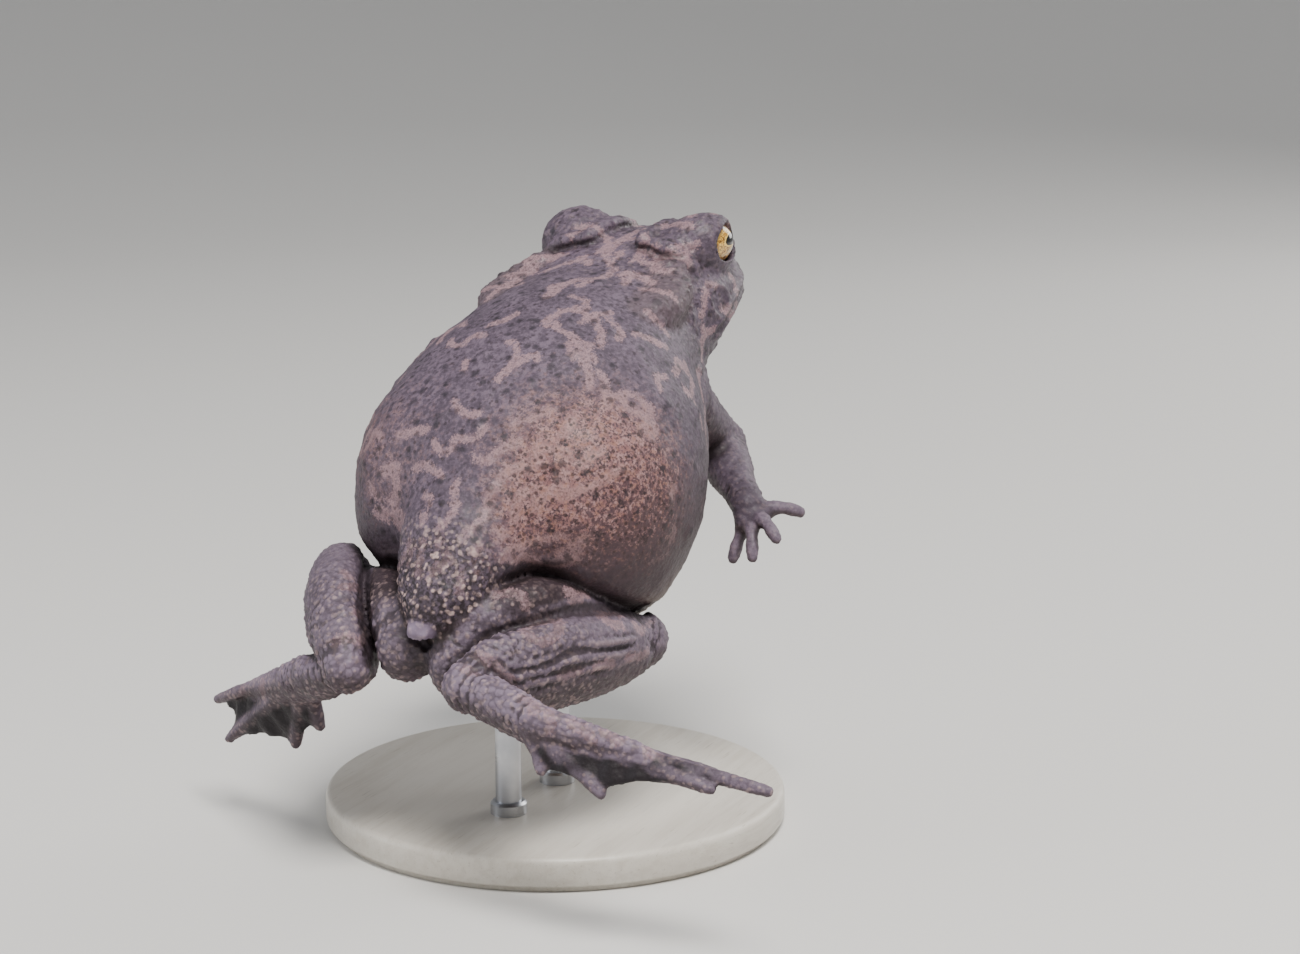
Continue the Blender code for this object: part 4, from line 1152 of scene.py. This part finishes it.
class Paint:
    """A material's nodes in short: each call adds a node and gives back its first output."""

    def __init__(self, name):
        self.material = bpy.data.materials.new(name)
        self.material.use_nodes = True
        self.nodes, self.links = self.material.node_tree.nodes, self.material.node_tree.links

    def put(self, socket, value):
        if isinstance(value, bpy.types.NodeSocket):
            self.links.new(value, socket)
        else:
            socket.default_value = value

    def add(self, kind, sockets=(), **settings):
        node = self.nodes.new("ShaderNode" + kind)
        for key, value in settings.items():
            setattr(node, key, value)
        for key, value in dict(sockets).items():
            self.put(node.inputs[key], value)
        return node

    def math(self, operation, *numbers):
        return self.add("Math", dict(enumerate(numbers)), operation=operation).outputs[0]

    def times(self, first, *others):
        """Product of numbers."""
        for other in others:
            first = self.math("MULTIPLY", first, other)
        return first

    def most(self, first, *others):
        """Greatest of numbers."""
        for other in others:
            first = self.math("MAXIMUM", first, other)
        return first

    def line(self, value, factor, start):
        """A value times a factor, plus a start."""
        return self.math("MULTIPLY_ADD", value, factor, start)

    def step(self, value, low, high, most=1.0, least=0.0):
        """Smooth step from least at low to most at high; low may be the greater one."""
        sockets = {"Value": value, "From Min": low, "From Max": high, "To Min": least, "To Max": most}
        return self.add("MapRange", sockets, interpolation_type="SMOOTHSTEP").outputs[0]

    def mix(self, share, first, second):
        return self.add("Mix", {0: share, 6: first, 7: second}, data_type="RGBA").outputs[2]

    def cover(self, colour, *layers):
        """A colour under layers of (share, colour), the last on top."""
        for share, layer in layers:
            colour = self.mix(share, colour, layer)
        return colour

    def measure(self, name):
        return self.add("Attribute", attribute_name=name).outputs["Vector" if name == "place" else "Fac"]

    def noise(self, place, scale, detail=2.0, rough=0.5):
        sockets = {"Vector": place, "Scale": scale, "Detail": detail, "Roughness": rough}
        return self.add("TexNoise", sockets).outputs[0]

    def cells(self, place, scale, feature="F1"):
        return self.add("TexVoronoi", {"Vector": place, "Scale": scale}, feature=feature).outputs["Distance"]

    def reach(self, place, scale):
        """Length of a place with each of its parts scaled."""
        scaled = self.add("VectorMath", {0: place, 1: scale}, operation="MULTIPLY").outputs[0]
        return self.add("VectorMath", {0: scaled}, operation="LENGTH").outputs["Value"]

    def bumps(self, *heights):
        """Normal after bumps of (height, strength, distance), one on another."""
        normal = None
        for height, strength, distance in heights:
            node = self.add("Bump", {"Height": height, "Strength": strength, "Distance": distance})
            if normal is not None:
                self.links.new(normal, node.inputs["Normal"])
            normal = node.outputs[0]
        return normal

    def finish(self, **sockets):
        for key, value in sockets.items():
            self.put(self.nodes["Principled BSDF"].inputs[key.replace("_", " ")], value)
        return self.material


def tint(red, green, blue):
    """Linear colour of a screen colour in 0 to 255, by the screen's own curve."""
    share = np.array((red, green, blue)) / 255
    linear = np.where(share < 0.04045, share / 12.92, ((share + 0.055) / 1.055) ** 2.4)
    return (*(float(part) for part in linear), 1.0)


SLATE = tint(84, 72, 85)
SLATE_DARK = tint(58, 49, 60)
SLATE_PALE = tint(102, 88, 103)
LIMB = tint(109, 96, 110)
LIMB_DARK = tint(74, 63, 76)
# painted light on the upper sides of tarsus and foot
LIMB_TOP_LIGHT = tint(128, 113, 131)
# painted shadow of the flank on the thigh
THIGH_SHADOW = tint(48, 36, 41)
WARM = tint(134, 95, 93)
WARM_DARK = tint(66, 46, 50)
WARM_PALE = tint(158, 122, 120)
OCHRE = tint(158, 112, 94)
MARK = tint(152, 122, 127)
MARK_WARM = tint(160, 126, 124)
DOT = tint(30, 26, 33)
SPECKLE = tint(32, 23, 26)
GRAIN = tint(182, 156, 152)
# dark of the pelvis's blotches, and painted shade in creases, seams and the valleys between grains
FURROW_DARK_AND_SHADE = tint(32, 24, 26)
BELLY = tint(134, 118, 106)
BELLY_SPOT = tint(72, 62, 62)
# the webs' own dark colour, deepened as painted shade
WEB_DARK_AND_SHADE = tint(18, 13, 17)
WEB_PALER_AND_SHADE = tint(30, 22, 27)
# painted shade for the lower flanks and the undersides of the limbs
UNDERSIDE_SHADE = tint(56, 41, 42)
LAVENDER = tint(136, 120, 142)
GLAND = tint(90, 76, 76)


def skin_paint():
    """Slate skin with pale worm-like marks, dark dots, a warm speckled flank and pale-tipped grains, and
    painted shade in creases, seams and grain valleys, on the lower sides, the undersides, the webs and the
    thigh under the flank, with painted light on the upper sides of the feet. Each layer is a share and a
    colour; noises have cycles to the millimetre."""
    paint = Paint("toad_skin")
    step, times, most, line, cover = paint.step, paint.times, paint.most, paint.line, paint.cover
    place = paint.measure("place")
    at = SimpleNamespace(**{name: paint.measure(name) for name in SKIN_MEASURES})
    broad, middle = paint.noise(place, 0.11, 3.0), paint.noise(place, 0.75, 4.0, 0.6)
    small, fine = paint.noise(place, 1.4, 4.0, 0.65), paint.noise(place, 2.6, 3.0, 0.65)

    limbs = cover(
        LIMB,
        (step(small, 0.62, 0.36, 0.6), LIMB_DARK),
        # painted shadow of the flank on the thigh
        (times(at.thigh, 0.95), THIGH_SHADOW),
        # painted light on the upper sides of tarsus and foot
        (times(at.foot, 0.65), LIMB_TOP_LIGHT),
        (times(at.arm, step(broad, 0.62, 0.42, 0.8, 0.35)), SLATE_DARK),
    )
    warmth = step(line(middle, 0.9, at.warm), 0.57, 1.2)
    flank = cover(
        WARM_DARK,
        (step(fine, 0.38, 0.55), paint.mix(step(middle, 0.4, 0.6), WARM, WARM_PALE)),
        (step(paint.noise(place, 1.1, 3.0), 0.5, 0.64, 0.5), OCHRE),
        # painted shade: the warm flank darker towards its lower side
        (step(line(at.low, 0.17, small), 0.58, 0.68, 0.85), WARM_DARK),
    )
    edge = line(fine, 2.2, line(middle, 1.8, line(at.mark, 1.0, -2.0)))
    grit = step(paint.noise(place, 3.4, 3.0, 0.6), 0.36, 0.56, 1.0, 0.35)
    marked = times(step(edge, 0.25, -0.3, 0.9), step(edge, -0.35, -0.75, 0.7, 1.0), grit,
                   line(at.pelvis, -0.45, 1.0), line(warmth, -0.45, 1.0))
    dots = step(line(fine, 0.4, paint.cells(place, 0.33)), 0.52, 0.32, 0.72)
    specks = step(line(small, 0.7, paint.cells(place, 0.95)), 0.74, 0.54, 0.75)
    spread = step(paint.noise(place, 0.3, 2.0), 0.35, 0.65, 0.75, 0.3)
    grains = paint.cells(place, 1.15, "SMOOTH_F1")
    tips = times(step(grains, 0.42, 0.22, 0.9), step(middle, 0.36, 0.54, 1.0, 0.25))
    colour = cover(
        SLATE,
        (step(broad, 0.35, 0.65), SLATE_PALE),
        (step(middle, 0.58, 0.38, 0.6), SLATE_DARK),
        (step(small, 0.56, 0.38, 0.55), SLATE_DARK),
        (step(small, 0.5, 0.66, 0.5), SLATE_PALE),
        # painted shade on the lower sides of the body
        (times(at.low, 0.5), SLATE_DARK),
        (at.limb, limbs),
        (times(step(at.pelvis, 0.35, 1.0), step(small, 0.55, 0.42, 0.7, 0.1)), FURROW_DARK_AND_SHADE),
        (times(warmth, 0.85), flank),
        (times(at.gland, 0.4), GLAND),
        (marked, paint.mix(warmth, MARK, MARK_WARM)),
        (times(dots, most(at.dorsal, times(at.limb, 0.3))), DOT),
        (times(specks, most(warmth, times(spread, at.dorsal))), SPECKLE),
        # painted shade on the lower flanks and the down-facing sides of the limbs
        (times(at.under, 0.68), UNDERSIDE_SHADE),
        (times(at.belly, 0.9), paint.mix(step(paint.noise(place, 0.22, 3.0), 0.52, 0.64), BELLY, BELLY_SPOT)),
        (times(tips, most(at.pelvis, times(at.limb, 0.1), times(at.wet, 0.1))), GRAIN),
        # painted shade in the valleys between grains and in the furrows of limbs and pelvis
        (times(step(at.relief, -0.03, -0.24), most(times(at.limb, 0.75), times(at.pelvis, 0.65))), FURROW_DARK_AND_SHADE),
        (times(step(at.relief, 0.08, 0.3), line(at.pelvis, 0.5, times(at.limb, 0.14))), GRAIN),
        (step(line(fine, 0.4, at.wart), 0.75, 1.1, 0.6), DOT),
        # painted shade in creases, hollows and seams
        (step(at.crease, 0.12, 0.65, 0.75), FURROW_DARK_AND_SHADE),
        # the webs' own dark colour, deepened as painted shade
        (at.web, paint.mix(middle, WEB_DARK_AND_SHADE, WEB_PALER_AND_SHADE)),
        (times(at.vent, 0.7), LAVENDER),
    )
    pores = paint.noise(place, 9.0)
    normal = paint.bumps((grains, 0.55, 0.00028), (fine, 0.4, 0.00025), (pores, 0.2, 0.0001))
    gloss = line(at.wet, WET_GLOSS, step(fine, 0.3, 0.7, 0.68, 0.5))
    return paint.finish(Base_Color=colour, Roughness=gloss, Normal=normal, Specular_IOR_Level=0.28,
                        Coat_Weight=0.05, Coat_Roughness=0.25)


def eye_mesh(hand):
    """Ball round the gaze with a cornea: its radius swells by a square law within the cornea's angle. The
    point's own place across the gaze is kept for the iris."""
    polar = np.linspace(0.0, math.pi, EYE_ROWS)
    turn = 2 * math.pi * np.arange(EYE_SIDES) / EYE_SIDES
    swell = CORNEA_SWELL * np.maximum(0, 1 - (polar / CORNEA_ANGLE) ** 2) ** 2
    radius = EYE_RADIUS - EYE_SLACK + swell
    across = np.maximum(radius * np.sin(polar), 1e-4)[:, None]
    ahead = (radius * np.cos(polar))[:, None]
    parts = np.broadcast_arrays(across * np.cos(turn), across * np.sin(turn), ahead)
    local = np.stack(parts, axis=2).reshape(-1, 3)
    lids = Lids(hand)
    points = to_world(lids.centre + local @ np.array((lids.level, lids.over, lids.gaze)))
    quads = ring_quads(EYE_ROWS, EYE_SIDES)
    corner = points[quads[0]]
    facing = np.cross(corner[1] - corner[0], corner[2] - corner[0])
    outward = facing @ (corner.mean(0) - to_world([lids.centre])[0]) > 0
    mesh = new_mesh("eye", points, quads if outward else quads[:, ::-1])
    write_measures(mesh, {"place": local})
    return mesh


def eye_paint():
    """Gold iris netted with black round a level oval pupil with a bright rim, dark outside, wet all over."""
    paint = Paint("eye")
    step = paint.step
    place = paint.measure("place")
    oval = paint.reach(place, (1 / PUPIL_STRETCH, 1.0, 0.0))
    ring = paint.reach(place, (1.0, 1.0, 0.0))
    back = paint.add("SeparateXYZ", {0: place}).outputs[2]
    net = paint.noise(place, 1.9, 5.0, 0.75)
    veins = paint.cells(place, 2.3, "DISTANCE_TO_EDGE")
    colour = paint.cover(
        tint(196, 138, 52),
        (step(net, 0.4, 0.62), tint(228, 188, 96)),
        (step(veins, 0.11, 0.02, 0.85), tint(28, 18, 10)),
        (step(net, 0.46, 0.38, 0.8), tint(40, 24, 12)),
        (step(oval, 1.22, 1.1), tint(236, 200, 112)),
        (step(ring, 3.0, 3.9), tint(22, 15, 12)),
        (step(oval, 1.05, 0.97), tint(4, 4, 5)),
        (step(back, 0.4, -0.4), tint(30, 24, 24)),
    )
    return paint.finish(Base_Color=colour, Roughness=0.06, Specular_IOR_Level=0.6, Coat_Weight=1.0,
                        Coat_Roughness=0.02)


def make_eyes():
    finish = eye_paint()
    for side, hand in zip(("right", "left"), HANDS):
        new_piece(f"eyeball_{side}", eye_mesh(hand), finish, [f"eye_{side}"])


def base_paint():
    """Satin paint, pale warm grey, on wood: its grain shows faintly, with small pores and a rubbed edge."""
    paint = Paint("satin_paint_on_wood")
    step = paint.step
    place = paint.add("TexCoord").outputs["Object"]
    turned = {"Vector": place, "Rotation": (0.0, 0.0, math.radians(24)), "Scale": (1.0, 0.06, 1.0)}
    laid = paint.add("Mapping", turned).outputs[0]
    bands, pores = paint.noise(laid, 620.0, 4.0, 0.7), paint.noise(laid, 2600.0, 2.0, 0.6)
    cloud = paint.noise(place, 34.0, 3.0)
    colour = paint.cover(
        tint(206, 201, 192),
        (step(cloud, 0.35, 0.65), tint(198, 192, 182)),
        (step(bands, 0.4, 0.66, 0.5), tint(182, 174, 162)),
        (step(pores, 0.62, 0.74, 0.5), tint(150, 140, 126)),
        (step(paint.add("NewGeometry").outputs["Pointiness"], 0.53, 0.58, 0.5), tint(222, 217, 208)),
    )
    normal = paint.bumps((bands, 0.3, 0.0002), (pores, 0.3, 0.0001))
    rough = step(cloud, 0.3, 0.7, 0.46, 0.36)
    return paint.finish(Base_Color=colour, Roughness=rough, Normal=normal, Coat_Weight=0.1,
                        Coat_Roughness=0.3)


def rod_paint():
    """Turned stainless steel: fine rings round the rod in its roughness and relief."""
    paint = Paint("turned_steel")
    place = paint.add("TexCoord").outputs["Object"]
    laid = paint.add("Mapping", {"Vector": place, "Scale": (60.0, 60.0, 9000.0)}).outputs[0]
    rings, smudge = paint.noise(laid, 1.0, 2.0, 0.6), paint.noise(place, 160.0, 3.0)
    colour = paint.mix(paint.step(smudge, 0.35, 0.7), tint(196, 197, 200), tint(176, 178, 184))
    rough = paint.line(rings, 0.18, paint.step(smudge, 0.3, 0.7, 0.28, 0.18))
    normal = paint.bumps((rings, 0.2, 0.00004))
    return paint.finish(Base_Color=colour, Metallic=1.0, Roughness=rough, Normal=normal)


def make_stand():
    """Turned wooden base with a stepped edge, and two steel rods with collars that end inside the belly."""
    corner = np.linspace(0, math.pi / 2, 7)
    rim = [(BASE_RADIUS - BASE_ROUND * (1 - math.sin(t)), BASE_THICKNESS - BASE_ROUND * (1 - math.cos(t)))
           for t in corner]
    foot = BASE_RADIUS - BASE_FOOT
    profile = [(0.0, BASE_THICKNESS), (foot * 0.5, BASE_THICKNESS), *rim, (BASE_RADIUS, 1.4),
               (BASE_RADIUS - 0.2, 1.1), (foot, 1.0), (foot, 0.15), (foot - 0.2, 0.0), (0.0, 0.0)]
    points, quads = lathe(profile, BASE_SIDES)
    base = new_mesh("base_disc", points * MM, quads)
    new_piece("base_disc", base, base_paint(), ["stand_base"])
    steel = rod_paint()
    for name in ("rear", "front"):
        node = f"stand_rod_{name}"
        low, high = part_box(node)
        axis = np.array(((low.x + high.x) / 2, (low.y + high.y) / 2, 0.0)) / MM
        neck, collar = BASE_THICKNESS + COLLAR_HEIGHT, ROD_RADIUS + COLLAR_WIDTH
        top, foot = high.z / MM + ROD_BITE, BASE_THICKNESS + COLLAR_GAP
        profile = [(0.0, top), (ROD_RADIUS, top), (ROD_RADIUS, neck), (collar - COLLAR_ROUND, neck),
                   (collar, neck - COLLAR_ROUND), (collar, foot), (0.0, foot)]
        points, quads = lathe(profile, ROD_SIDES)
        mesh = new_mesh(f"rod_{name}", (points + axis) * MM, quads)
        new_piece(f"rod_{name}", mesh, steel, [node])
        mesh.set_sharp_from_angle(angle=SHARP_ANGLE)


def make_camera():
    """Camera at the photograph's place: yaw to the right of straight behind, pitched down."""
    head = np.array((math.sin(CAMERA_YAW), -math.cos(CAMERA_YAW), 0.0))
    lift = np.array((0.0, 0.0, 1.0))
    axis = head * math.cos(CAMERA_PITCH) - lift * math.sin(CAMERA_PITCH)
    over = head * math.sin(CAMERA_PITCH) + lift * math.cos(CAMERA_PITCH)
    camera = bpy.data.cameras.new("photo_view")
    camera.sensor_width = SENSOR_WIDTH
    camera.lens = SENSOR_WIDTH * PHOTO_FOCAL / PHOTO_WIDTH
    camera.clip_start = 0.01
    made = linked("photo_view", camera, np.cross(axis, over), over, -axis, CAMERA_PLACE * MM)
    bpy.context.scene.camera = made


def make_studio():
    """Pale floor, pale surroundings and three soft lamps."""
    turn = np.linspace(0, math.pi / 2, 12)
    rise = zip(STUDIO_FLAT + STUDIO_CURVE * np.sin(turn), STUDIO_CURVE * (1 - np.cos(turn)))
    mesh = new_mesh("floor", *lathe([(0.0, 0.0), (0.3, 0.0), (0.8, 0.0), *rise], 96))
    mesh.materials.append(Paint("floor_paint").finish(Base_Color=FLOOR_COLOUR, Roughness=0.7))
    mesh.shade_smooth()
    linked("floor", mesh)
    world = bpy.data.worlds.new("surroundings")
    world.use_nodes = True
    sky = world.node_tree.nodes["Background"]
    sky.inputs["Color"].default_value = SKY_COLOUR
    sky.inputs["Strength"].default_value = SKY_STRENGTH
    bpy.context.scene.world = world
    for name, (place, width, power, colour) in LAMPS.items():
        light = bpy.data.lights.new(name, "AREA")
        light.size, light.energy, light.color = width, power, colour
        back = unit(np.array(place) - LAMP_TARGET)
        side = unit(np.cross((0, 0, 1), back))
        linked(name, light, side, np.cross(back, side), back, place)


make_camera()
make_studio()
make_skin(skin_paint())
make_eyes()
make_stand()
